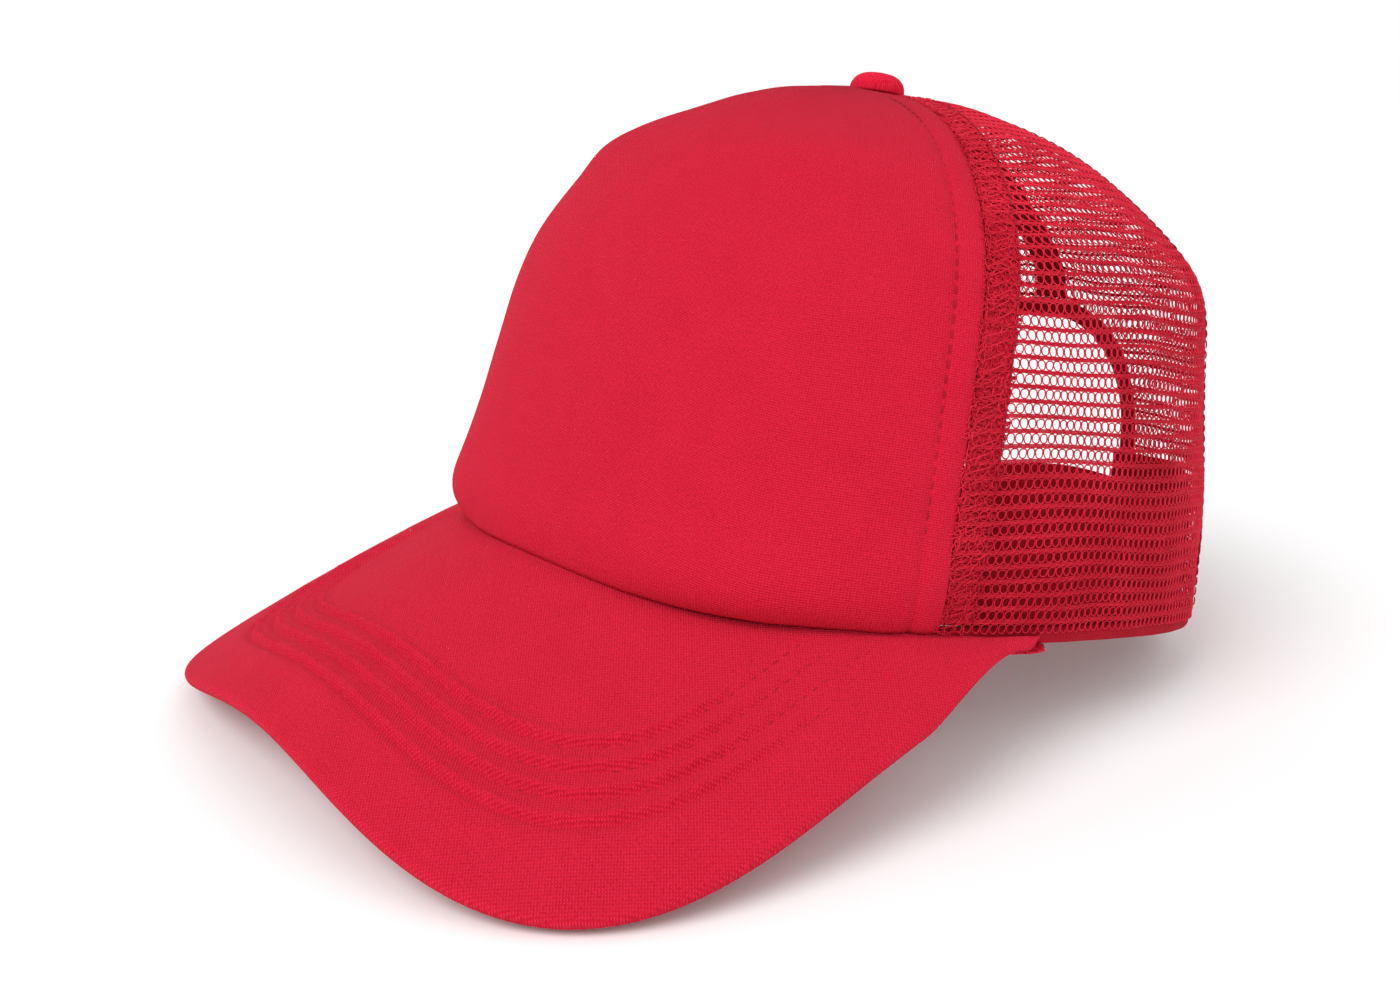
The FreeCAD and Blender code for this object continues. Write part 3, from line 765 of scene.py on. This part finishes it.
def on_back(x, z):
    """theta and t of the crown's back at a given x and z, found by Newton's method."""
    theta = math.pi - x / CLOTH_RADIUS
    t = np.clip(z / WALL_HEIGHT, 0.01, 0.9)
    for _ in range(14):
        here = crown(theta, t)
        by_theta = (crown(theta + STEP, t) - crown(theta - STEP, t)) / (2 * STEP)
        by_t = (crown(theta, t + STEP) - crown(theta, t - STEP)) / (2 * STEP)
        ex, ez = here[..., 0] - x, here[..., 2] - z
        a, b, c, d = by_theta[..., 0], by_t[..., 0], by_theta[..., 2], by_t[..., 2]
        size = a * d - b * c
        theta = theta - (d * ex - b * ez) / size
        t = t - (a * ez - c * ex) / size
    return theta, t


def arch_binding(material, thread):
    def place(along, margin, deep):
        pucker = 0.10 * np.sin(along * 190) + 0.12 * ripple(along * 200, margin, 14, 41)
        x, z = arch_path(along, margin + pucker)
        theta, t = on_back(x, z)
        return in_crown(theta, t, deep + 0.5 * pucker)

    along = np.linspace(0, 1, 260)
    piece = tape("arch_binding", place, along, (-0.25, BINDING_WIDTH - 0.3), (-0.4, 1.5), 1, 26, 0.55)
    dress(piece, material, "rear_arch_binding")
    lines = []
    for deep, sign in ((-0.42, 1), (1.5, -1)):
        s = np.linspace(0.01, 0.99, 500)
        x, z = arch_path(s, np.full_like(s, BINDING_WIDTH - 1.5))
        theta, t = on_back(x, z)
        lines.append((in_crown(theta, t, np.full_like(s, deep)), sign * crown_normal(theta, t)))
    dress(stitches("arch_binding_stitching", lines, 1, 2.6, 1.9, 0.17), thread)


def opening_edge():
    theta = np.linspace(math.pi / 2, math.pi, 2000)
    return np.interp(-ARCH_HALF_WIDTH, -crown(theta, np.zeros_like(theta))[:, 0], theta)


def rim_tape(material):
    end = opening_edge() - 0.5 / RIM_HALF_LENGTH

    def place(theta, height, deep):
        wave = 0.1 * ripple(theta * WALL_RADIUS, height, 12, 51)
        at = crown(theta, np.zeros_like(theta))
        normal = crown_normal(theta, np.full_like(theta, 0.01)) * (1, 1, 0)
        return at - unit(normal) * (deep + wave)[..., None] + height[..., None] * (0, 0, 1)

    along = np.linspace(-end, end, 300)
    piece = tape("rim_edging", place, along, (-RIM_TAPE_HEIGHT, 1.3), RIM_TAPE, 1, 24, 0.7)
    dress(piece, material, "rim_tape")


def sweatband(material, thread):
    end = opening_edge() - 2.0 / RIM_HALF_LENGTH
    along = np.linspace(-end, end, 320)
    wall = np.linspace(0, 0.6, 120)
    heights = np.stack([length_along(crown(np.full_like(wall, a), wall)) for a in along])

    def sag(theta, height):
        """The band's free upper edge stands a little higher or lower from place to place."""
        turn = np.degrees(np.abs(theta))
        rise = 2.8 * np.exp(-(((turn - 80) / 14) ** 2)) - 3.5 * np.exp(-(((turn - 108) / 12) ** 2))
        rise = rise + 5.0 * smooth((turn - 120) / 22)
        return height + rise * (height / SWEATBAND_HEIGHT) ** 2

    def at_height(theta, height):
        row = np.clip(np.round((theta + end) / (2 * end) * (len(along) - 1)).astype(int), 0, len(along) - 1)
        flat = [np.interp(h, heights[r], wall) for h, r in zip(height.ravel(), row.ravel())]
        return np.array(flat).reshape(height.shape)

    def place(theta, height, deep):
        t = at_height(theta, sag(theta, height))
        gathers = 0.08 * np.sin(theta * WALL_RADIUS * 2 * math.pi / STITCH_PITCH)
        wave = 0.18 * ripple(theta * WALL_RADIUS, height * 0.4, 26, 61) + gathers
        band = 0.35 * np.exp(-(((height - SWEATBAND_HEIGHT + 3) / 1.0) ** 2))
        inner = deep > (SWEATBAND[0] + SWEATBAND[1]) / 2
        return in_crown(theta, t, deep + np.where(inner, wave - band, 0.3 * np.abs(wave)))

    piece = tape("sweatband_cloth", place, along, (0.3, SWEATBAND_HEIGHT), SWEATBAND, 1, 44, 0.3)
    dress(piece, material, "sweatband")
    lines = []
    for height in (2.5, SWEATBAND_HEIGHT - 3.0):
        t = at_height(along, sag(along, np.full_like(along, height)))
        points = in_crown(along, t, np.full_like(along, SWEATBAND[1] - 0.05))
        lines.append((points, -crown_normal(along, t)))
    dress(stitches("sweatband_stitching", lines, 1, 3.0, 2.2, 0.2), thread)


# ------------------------------------------------------------------------------- visor


def visor_outline(phi):
    c, s = np.cos(phi), np.sin(phi)
    power = VISOR_CORNER_POWER
    size = (np.abs(c) ** power + np.abs(s) ** power) ** (-1 / power)
    return VISOR_HALF_WIDTH * size * s, -VISOR_WIDEST_FORWARD - VISOR_FORWARD * size * c


def visor_plate(u, v):
    """The visor's top face: u from the wearer's right to left, v from the front edge to the rim."""
    across = 2 * u - 1
    theta = math.radians(VISOR_END_THETA) * across
    out_x, out_y = visor_outline(math.radians(VISOR_END_PHI) * across)
    in_x, in_y = rim_outline(theta)
    in_x, in_y = in_x * VISOR_RIM_CLEARANCE, in_y * VISOR_RIM_CLEARANCE
    drawn_in = VISOR_DRAWN_IN * smooth((np.abs(across) - VISOR_DRAWN_FROM) / (1 - VISOR_DRAWN_FROM))
    share = drawn_in + (1 - drawn_in) * v
    x = out_x + (in_x - out_x) * share
    y = out_y + (in_y - out_y) * share
    to_rim = rim_height(theta) - visor_height(in_x, in_y)
    towards_end = across**6
    z = visor_height(x, y) + to_rim * (towards_end + (1 - towards_end) * v**3)
    return np.stack([x, y, z], -1)


def in_visor(u, v, depth):
    along = visor_plate(u + STEP, v) - visor_plate(u - STEP, v)
    across = visor_plate(u, v + STEP) - visor_plate(u, v - STEP)
    return visor_plate(u, v) - unit(np.cross(along, across)) * np.asarray(depth)[..., None]


def visor_inset(points):
    """How far points of the visor lie inside its outline, in the outline's own family of curves."""
    x, y = np.abs(points[..., 0]), np.maximum(-points[..., 1] - VISOR_WIDEST_FORWARD, 0)
    power = VISOR_CORNER_POWER
    low, high = np.zeros_like(x), np.full_like(x, 75.0)
    for _ in range(26):
        middle = (low + high) / 2
        size = (x / (VISOR_HALF_WIDTH - middle)) ** power + (y / (VISOR_FORWARD - middle)) ** power
        inside = size < 1
        low, high = np.where(inside, middle, low), np.where(inside, high, middle)
    return low


def row_insets():
    return [STITCH_MARGIN + k * STITCH_SPACING for k in range(STITCH_ROWS)]


def row_strength(points):
    """The stitch rows are deep over the front of the visor and fade along its sides."""
    back = -VISOR_WIDEST_FORWARD - points[..., 1]
    return 0.25 + 0.75 * smooth((back + 2) / 32)


def visor_relief(points):
    """Height of the cloth over the board: puffs between the stitch rows, and a groove at each row."""
    inset = visor_inset(points)
    strength = row_strength(points) * smooth((-points[..., 1] - VISOR_WIDEST_FORWARD + 10) / 8)
    turn = np.arctan2(points[..., 0], -points[..., 1])
    uneven = 1 + 0.28 * ripple(turn * 95, inset * 1.3, 7.5, 72)
    relief = np.full(inset.shape, ROW_LIFT) * strength
    for row in row_insets():
        off = inset - row
        pleat = 1 + 0.25 * np.sin(turn * 95 * 2 * math.pi / STITCH_PITCH + row)
        relief = relief - (GROOVE_DEPTH + ROW_LIFT) * np.exp(-((off / GROOVE_WIDTH) ** 2)) * strength
        puff = PUFF * np.exp(-(((off - 0.3 * STITCH_SPACING) / 1.1) ** 2))
        relief = relief + puff * strength * uneven * pleat
    relief = relief + 0.45 * np.exp(-(((inset - STITCH_MARGIN + 3) / 3.0) ** 2)) * strength * uneven
    return relief + 0.05 * ripple(points[..., 0], points[..., 1], 13, 71)


def visor_grid(columns, rows):
    """u and v over the visor: turned in under the crown, and rolled round the board's outer edge."""
    u = np.linspace(0.0, 1.0, columns)
    reach = np.linalg.norm(visor_plate(u, np.zeros_like(u)) - visor_plate(u, np.ones_like(u)), axis=-1)
    roll = EDGE_ROLL / np.maximum(reach, EDGE_ROLL * 2)
    turned_in = SEAM_TURN / np.maximum(reach, EDGE_ROLL * 2)
    flat = np.linspace(1, 0, rows)[None, :]
    v_flat = roll[:, None] + (1 + turned_in[:, None] - roll[:, None]) * flat
    turn = np.linspace(0, math.pi / 2, 8)[1:]
    v_edge = roll[:, None] * (1 - np.sin(turn))
    deep_edge = EDGE_ROLL * (1 - np.cos(turn))
    v = np.concatenate([v_flat, v_edge], 1)
    deep = np.concatenate([np.zeros_like(v_flat), np.broadcast_to(deep_edge, v_edge.shape)], 1)
    return np.broadcast_to(u[:, None], v.shape), v, deep


def visor_covers(fabric):
    u, v, edge = visor_grid(360, 170)
    flat = visor_plate(u, v)
    to_crease = np.maximum(1 - v, 0) * VISOR_LENGTH
    tuck = 0.5 * np.exp(-to_crease / 1.2)
    lie_flat = smooth(to_crease / 4) * smooth(v * VISOR_LENGTH / 5)
    uv = np.stack([flat[..., 0], flat[..., 1]], -1)
    top = in_visor(u, v, edge + tuck - visor_relief(flat) * lie_flat)
    piece = closed_sheet("visor_top_cloth", top[:, ::-1], CLOTH, uv[:, ::-1])
    dress(piece, fabric, "visor_top_cover")
    under = in_visor(u, v, VISOR_THICKNESS - edge + 0.4 * visor_relief(flat) * lie_flat)
    piece = closed_sheet("visor_bottom_cloth", under, CLOTH, uv)
    dress(piece, fabric, "visor_bottom_cover")


def stitch_v(u, inset):
    """The v at which the visor's top face reaches a stitch line at that inset from the front edge."""
    half_width = VISOR_HALF_WIDTH - inset
    forward = VISOR_FORWARD - inset
    low, high = np.zeros_like(u), np.ones_like(u)
    for _ in range(24):
        middle = (low + high) / 2
        points = visor_plate(u, middle)
        ahead = np.maximum(-points[..., 1] - VISOR_WIDEST_FORWARD, 0)
        size = (np.abs(points[..., 0]) / half_width) ** VISOR_CORNER_POWER
        size = size + (ahead / forward) ** VISOR_CORNER_POWER
        low, high = np.where(size > 1, middle, low), np.where(size > 1, high, middle)
    return high


def visor_stitching(thread):
    """Each row of stitching shows above the visor and below it."""
    for row in range(STITCH_ROWS):
        inset = STITCH_MARGIN + (STITCH_ROWS - 1 - row) * STITCH_SPACING
        u = np.linspace(0.1, 0.9, 1600)
        v = stitch_v(u, inset)
        u, v = u[v < STITCH_END_V], v[v < STITCH_END_V]
        flat = visor_plate(u, v)
        normal = flat - in_visor(u, v, np.ones_like(u))
        above = flat - normal * (GROOVE_DEPTH * row_strength(flat) * 0.9)[:, None]
        below = flat - normal * (VISOR_THICKNESS - 0.3 * GROOVE_DEPTH)
        piece = stitches(f"visor_thread_{row + 1}", [(above, normal), (below, -normal)])
        dress(piece, thread, f"visor_stitch_row_{row + 1}")


# ------------------------------------------------------------------------------- button and straps


def on_top(points):
    """Moves points made about the Z axis onto the top of the crown, leaning back with it."""
    lean = math.radians(BUTTON_LEAN)
    x, y, z = points[..., 0], points[..., 1], points[..., 2]
    y, z = y * math.cos(lean) + z * math.sin(lean), z * math.cos(lean) - y * math.sin(lean)
    return np.stack([x, y + APEX_BACKWARD, z + CROWN_HEIGHT], -1)


def button(fabric):
    around = np.linspace(0, 2 * math.pi, 96, endpoint=False)[:, None]
    rise = np.linspace(0.0, 1.0, 34)[None, :]
    angle = rise * math.pi / 2
    radius = BUTTON_RADIUS * np.cos(angle) ** 0.62 + 0 * around
    height = BUTTON_BASE + BUTTON_HEIGHT * np.sin(angle) ** 0.9 + 0 * around
    gather = (1 - rise) ** 2 * 0.14 * np.sin(around * 17 + 0.8 * np.sin(around * 3))
    radius = radius + gather + 0.05 * ripple(around * 7, rise * 7, 5, 81)
    height = height - 0.5 * np.exp(-rise / 0.03)
    points = np.stack([radius * np.cos(around), radius * np.sin(around), height], -1)
    uv = np.stack([points[..., 0], points[..., 1]], -1)
    faces = grid_faces(96, 34, wrap_rows=True)
    piece = mesh_object("button_cloth", on_top(points), faces, uv)
    finish_mesh(piece, fill=True, merge=True)
    dress(piece, fabric, "button_cover")


def strap_web(name, sign, lap, material):
    """The thin web that a strap bends at, from its sewn end to its free part."""
    hinge = ARCH_HALF_WIDTH - HINGE_INSET
    start, finish = sign * (hinge + HINGE_GAP + 1.5), sign * (hinge - 1.5)
    depth = STRAP_SEWN_DEPTH + lap - STRAP_DRIFT * (1 + sign * hinge / ARCH_HALF_WIDTH) + STRAP_THICKNESS / 2

    def place(distance, height, deep):
        theta = math.pi + distance / RIM_HALF_LENGTH
        flat = [t_at_height(a, h) for a, h in zip(theta.ravel(), height.ravel())]
        return in_crown(theta, np.array(flat).reshape(theta.shape), deep)

    along = np.linspace(start, finish, 14)
    low, high = STRAP_ABOVE_RIM + 0.6, STRAP_ABOVE_RIM + STRAP_WIDTH - 0.6
    piece = tape(name, place, along, (low, high), (depth - 0.38, depth + 0.38), 1, 16, 0.4)
    piece.data.materials.append(material)
    middle = place(np.array([start, finish]), np.array([10.0, 10.0]), np.full(2, depth)) * MM
    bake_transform(piece)


def strap_stitching(thread):
    """A box of stitching holds each strap's sewn end to the net and shows outside."""
    near, far = ARCH_HALF_WIDTH + BINDING_WIDTH + 1.0, ARCH_HALF_WIDTH + TAB_LENGTH - 1.5
    low, high = STRAP_ABOVE_RIM + 3.0, STRAP_ABOVE_RIM + STRAP_WIDTH - 3.0
    corners = [(near, low), (far, low), (far, high), (near, high), (near, low)]
    lines = []
    for (d0, h0), (d1, h1) in zip(corners, corners[1:]):
        distance, height = np.linspace(d0, d1, 40), np.linspace(h0, h1, 40)
        theta = math.pi - distance / RIM_HALF_LENGTH
        t = np.array([t_at_height(a, h) for a, h in zip(theta, height)])
        lines.append((in_crown(theta, t, np.full(40, 0.05)), crown_normal(theta, t)))
    for side_name, side in SIDES:
        piece = stitches(f"strap_stitching_{side_name}", lines, side, 2.2, 1.6, 0.18)
        dress(piece, thread)


# ------------------------------------------------------------------------------- materials


class Recipe:
    """A material in the making: its shader, and the coordinates that its patterns follow."""

    def __init__(self, name, on_cloth=False):
        self.material = bpy.data.materials.new(name)
        self.material.use_nodes = True
        self.nodes = self.material.node_tree.nodes
        self.shader = self.nodes["Principled BSDF"]
        if on_cloth:
            uv = self.nodes.new("ShaderNodeUVMap")
            uv.uv_map = "cloth"
            self.at = uv.outputs["UV"]
        else:
            self.at = self.nodes.new("ShaderNodeTexCoord").outputs["Object"]

    def feed(self, node, values):
        """Sets a node's inputs to numbers, or joins them to the outputs of other nodes."""
        for name, value in values.items():
            if isinstance(value, bpy.types.NodeSocket):
                self.material.node_tree.links.new(value, node.inputs[name])
            else:
                node.inputs[name].default_value = value
        return node

    def noise(self, scale, detail, roughness):
        made = self.nodes.new("ShaderNodeTexNoise")
        values = {"Vector": self.at, "Scale": scale, "Detail": detail, "Roughness": roughness}
        return self.feed(made, values).outputs["Fac"]

    def waves(self, period, turn, wobble=0.6):
        """Fine parallel ridges: period in the units of the coordinates, turned by an angle in degrees."""
        mapping = self.nodes.new("ShaderNodeMapping")
        self.feed(mapping, {"Vector": self.at, "Rotation": (0, 0, math.radians(turn))})
        made = self.nodes.new("ShaderNodeTexWave")
        made.wave_profile = "SIN"
        self.feed(made, {"Vector": mapping.outputs["Vector"], "Scale": 2 * math.pi / 20 / period})
        self.feed(made, {"Distortion": wobble, "Detail": 2.0, "Detail Scale": 1.5})
        return made.outputs["Fac"]

    def maths(self, operation, a, b):
        made = self.nodes.new("ShaderNodeMath")
        made.operation = operation
        return self.feed(made, {0: a, 1: b}).outputs["Value"]

    def colours(self, factor, dark, light):
        """Colours the shader from dark to light, as the factor rises."""
        ramp = self.nodes.new("ShaderNodeValToRGB")
        for element, position, colour in zip(ramp.color_ramp.elements, (0.2, 0.8), (dark, light)):
            element.position = position
            element.color = (*colour, 1)
        self.feed(ramp, {"Fac": factor})
        self.feed(self.shader, {"Base Color": ramp.outputs["Color"]})

    def bump(self, height, distance):
        made = self.feed(self.nodes.new("ShaderNodeBump"), {"Distance": distance, "Height": height})
        made.inputs["Strength"].default_value = 1.0
        self.feed(self.shader, {"Normal": made.outputs["Normal"]})


def shaded(colour, amount):
    return tuple(min(1.0, c * amount) for c in colour)


def cloth(name, colour, wale, course, slant, relief, sheen, contrast):
    """Knitted or woven cloth. wale and course are the ridge spacings in mm, relief the bump in mm."""
    made = Recipe(name, on_cloth=True)
    weave = made.maths("MULTIPLY", made.waves(wale, slant), made.waves(course, slant + 90))
    fibres = made.noise(1.7, 4.0, 0.7)
    made.bump(made.maths("ADD", weave, made.maths("MULTIPLY", fibres, 0.9)), relief * MM)
    patches = made.noise(0.09, 3.0, 0.6)
    tone = made.maths("MULTIPLY", weave, 0.5)
    tone = made.maths("ADD", tone, made.maths("MULTIPLY", fibres, 0.6))
    tone = made.maths("ADD", tone, made.maths("MULTIPLY", patches, 0.1))
    red, green, blue = colour
    # The light end is pinkish, its green and blue raised: partly pale fibres, partly painted highlight for
    # the glints on the fibres.
    light = (red * (1 + 0.6 * contrast), green * (1 + 7 * contrast), blue * (1 + 4 * contrast))
    dark = (red * (1 - 1.5 * contrast), green * (1 - 2.5 * contrast), blue * (1 - 2 * contrast))
    made.colours(tone, dark, light)
    made.feed(made.shader, {"Roughness": 0.9, "Specular IOR Level": 0.08, "Sheen Weight": sheen})
    made.feed(made.shader, {"Sheen Roughness": 0.45, "Sheen Tint": (1.0, 0.35, 0.40, 1)})
    return made.material


def yarn(name, colour, sheen=0.04, roughness=0.6):
    """Twisted yarn of the net and of the stitching, with its strands as fine relief."""
    made = Recipe(name)
    strands = made.waves(0.16 * MM, 40, 1.5)
    fibres = made.noise(2500, 3.0, 0.7)
    patches = made.noise(60, 3.0, 0.6)
    made.bump(made.maths("ADD", strands, fibres), 0.03 * MM)
    tone = made.maths("ADD", made.maths("MULTIPLY", fibres, 0.5), patches)
    red, green, blue = colour
    # The light end is pinkish, its green and blue raised: painted highlight on the yarn.
    light = (min(1.0, red * 1.05), green * 3.5, blue * 2.0)
    dark = (red * 0.6, green * 0.4, blue * 0.5)
    made.colours(made.maths("MULTIPLY", tone, 0.66), dark, light)
    made.feed(made.shader, {"Roughness": roughness, "Specular IOR Level": 0.12})
    made.feed(made.shader, {"Sheen Weight": sheen, "Sheen Tint": (1.0, 0.4, 0.45, 1)})
    return made.material


def foam_lining(name, colour):
    """Foam with a thin knitted lining: fine pores over a faint grid."""
    made = Recipe(name, on_cloth=True)
    pores = made.nodes.new("ShaderNodeTexVoronoi")
    made.feed(pores, {"Scale": 1.6, "Vector": made.at})
    knit = made.maths("MULTIPLY", made.waves(0.9, 0), made.waves(0.7, 90))
    height = made.maths("ADD", pores.outputs["Distance"], made.maths("MULTIPLY", knit, 0.5))
    made.bump(height, 0.12 * MM)
    made.colours(made.noise(0.06, 4.0, 0.6), shaded(colour, 0.88), colour)
    made.feed(made.shader, {"Roughness": 0.95, "Sheen Weight": 0.1})
    return made.material


def plastic(name, colour, roughness):
    """Moulded plastic: a fine satin grain with faint flow marks and scuffs."""
    made = Recipe(name)
    grain = made.noise(2200, 2.0, 0.5)
    flow = made.noise(90, 4.0, 0.65)
    made.bump(made.maths("ADD", grain, flow), 0.02 * MM)
    made.colours(flow, shaded(colour, 0.8), shaded(colour, 1.1))
    rough = made.maths("ADD", made.maths("MULTIPLY", flow, 0.25), roughness - 0.12)
    made.feed(made.shader, {"Roughness": rough})
    return made.material


def brushed_metal(name, colour):
    """Pressed steel with turning marks."""
    made = Recipe(name)
    marks = made.waves(0.25 * MM, 15, 3.0)
    grain = made.noise(900, 4.0, 0.6)
    made.bump(made.maths("ADD", marks, grain), 0.01 * MM)
    made.colours(grain, shaded(colour, 0.8), shaded(colour, 1.1))
    rough = made.maths("ADD", made.maths("MULTIPLY", grain, 0.2), 0.25)
    made.feed(made.shader, {"Metallic": 1.0, "Roughness": rough})
    return made.material


def dress(piece, material, node=None, body="crown"):
    """Gives a piece its material and slot, lets it ride on a body, and hides the CAD node it stands for."""
    piece.data.materials.clear()
    piece.data.materials.append(material)
    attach(piece, body)
    if node is not None:
        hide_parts(node)


def dress_cad(frame, names, material):
    for name in names:
        data = frame["nodes"][name].data
        data.materials.clear()
        data.materials.append(material)


# ------------------------------------------------------------------------------- scene


def direction(azimuth, elevation):
    """Points towards a light or the camera. Azimuth 0 is in front of the cap and 90 at its left."""
    a, e = math.radians(azimuth), math.radians(elevation)
    return Vector((math.sin(a) * math.cos(e), -math.cos(a) * math.cos(e), math.sin(e)))


def studio():
    """A pale floor, a white sky and two broad soft lights, the stronger one in front."""
    bpy.ops.mesh.primitive_circle_add(vertices=64, radius=40, fill_type="NGON", location=(0, 0, -0.0002))
    floor = bpy.context.object
    floor.name = "floor"
    white = Recipe("floor_white")
    white.feed(white.shader, {"Base Color": (0.93, 0.93, 0.93, 1), "Roughness": 0.9})
    white.feed(white.shader, {"Specular IOR Level": 0.1})
    floor.data.materials.append(white.material)

    world = bpy.data.worlds.new("studio")
    bpy.context.scene.world = world
    world.use_nodes = True
    nodes, links = world.node_tree.nodes, world.node_tree.links
    background = nodes["Background"]
    background.inputs["Color"].default_value = (1, 1, 1, 1)
    path = nodes.new("ShaderNodeLightPath")
    strength = nodes.new("ShaderNodeMapRange")
    strength.inputs["To Min"].default_value = SKY_LIGHT
    strength.inputs["To Max"].default_value = 1.0
    links.new(path.outputs["Is Camera Ray"], strength.inputs["Value"])
    links.new(strength.outputs["Result"], background.inputs["Strength"])

    for name, azimuth, elevation, energy, angle in LIGHTS:
        light = bpy.data.lights.new(name, "SUN")
        light.energy = energy
        light.angle = math.radians(angle)
        lamp = bpy.data.objects.new(name, light)
        lamp.rotation_euler = direction(azimuth, elevation).to_track_quat("Z", "Y").to_euler()
        bpy.context.scene.collection.objects.link(lamp)
    bpy.context.scene.view_settings.view_transform = "Standard"


def camera():
    back = direction(CAMERA_AZIMUTH, CAMERA_ELEVATION)
    right = direction(CAMERA_AZIMUTH + 90, 0)
    target = right * CAMERA_SIDEWAYS + Vector((0, 0, CAMERA_HEIGHT))
    data = bpy.data.cameras.new("camera")
    data.lens = CAMERA_LENS
    data.sensor_width = 36
    data.clip_start = 0.01
    seen_from = bpy.data.objects.new("camera", data)
    seen_from.location = (target + back * CAMERA_DISTANCE) * MM
    seen_from.rotation_mode = "QUATERNION"
    seen_from.rotation_quaternion = (-back).to_track_quat("-Z", "Y")
    bpy.context.scene.collection.objects.link(seen_from)
    bpy.context.scene.camera = seen_from


def build():
    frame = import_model()
    camera()
    studio()

    panel_cloth = cloth("panel_knit", RED, 0.62, 0.52, 8, 0.24, 0.05, 0.28)
    visor_cloth = cloth("visor_knit", RED, 0.62, 0.55, 38, 0.26, 0.05, 0.30)
    button_cloth = cloth("button_knit", RED, 0.55, 0.5, 20, 0.14, 0.06, 0.22)
    tape_cloth = cloth("tape_weave", TAPE_RED, 0.8, 0.45, 0, 0.14, 0.03, 0.22)
    # The sweatband cloth's darker red is painted shade, for the shade it lies in behind the net.
    band_cloth = cloth("sweatband_twill", SWEATBAND_RED_SHADED, 0.7, 0.5, 45, 0.14, 0.03, 0.22)
    net_yarn = yarn("net_yarn", NET_RED)
    thread = yarn("sewing_thread", THREAD_RED, 0.03, 0.55)
    foam = foam_lining("foam_lining", FOAM_WHITE)
    snap = plastic("snap_plastic", TAPE_RED, 0.42)
    board = plastic("visor_board_plastic", FOAM_WHITE, 0.6)
    metal = brushed_metal("button_steel", STEEL)

    front_panel(panel_cloth, foam)
    seam_allowances(panel_cloth)
    side_nets(net_yarn)
    rear_nets(net_yarn)
    topstitching(thread)
    seam_stitching(thread)
    seam_tapes(tape_cloth)
    arch_binding(tape_cloth, thread)
    rim_tape(tape_cloth)
    sweatband(band_cloth, thread)
    visor_covers(visor_cloth)
    visor_stitching(thread)
    button(button_cloth)
    strap_web("hole_strap_web", -1, 0.0, snap)
    strap_web("peg_strap_web", 1, STRAP_LAP, snap)
    strap_stitching(thread)
    pegs = [f"snap_peg_{number}" for number in range(1, SNAPS + 1)]
    dress_cad(frame, ("hole_strap", "hole_strap_tab", "peg_strap", "peg_strap_tab", *pegs), snap)
    dress_cad(frame, ("visor_board",), board)
    dress_cad(frame, ("button_shell", "button_rivet", "button_washer"), metal)


build()
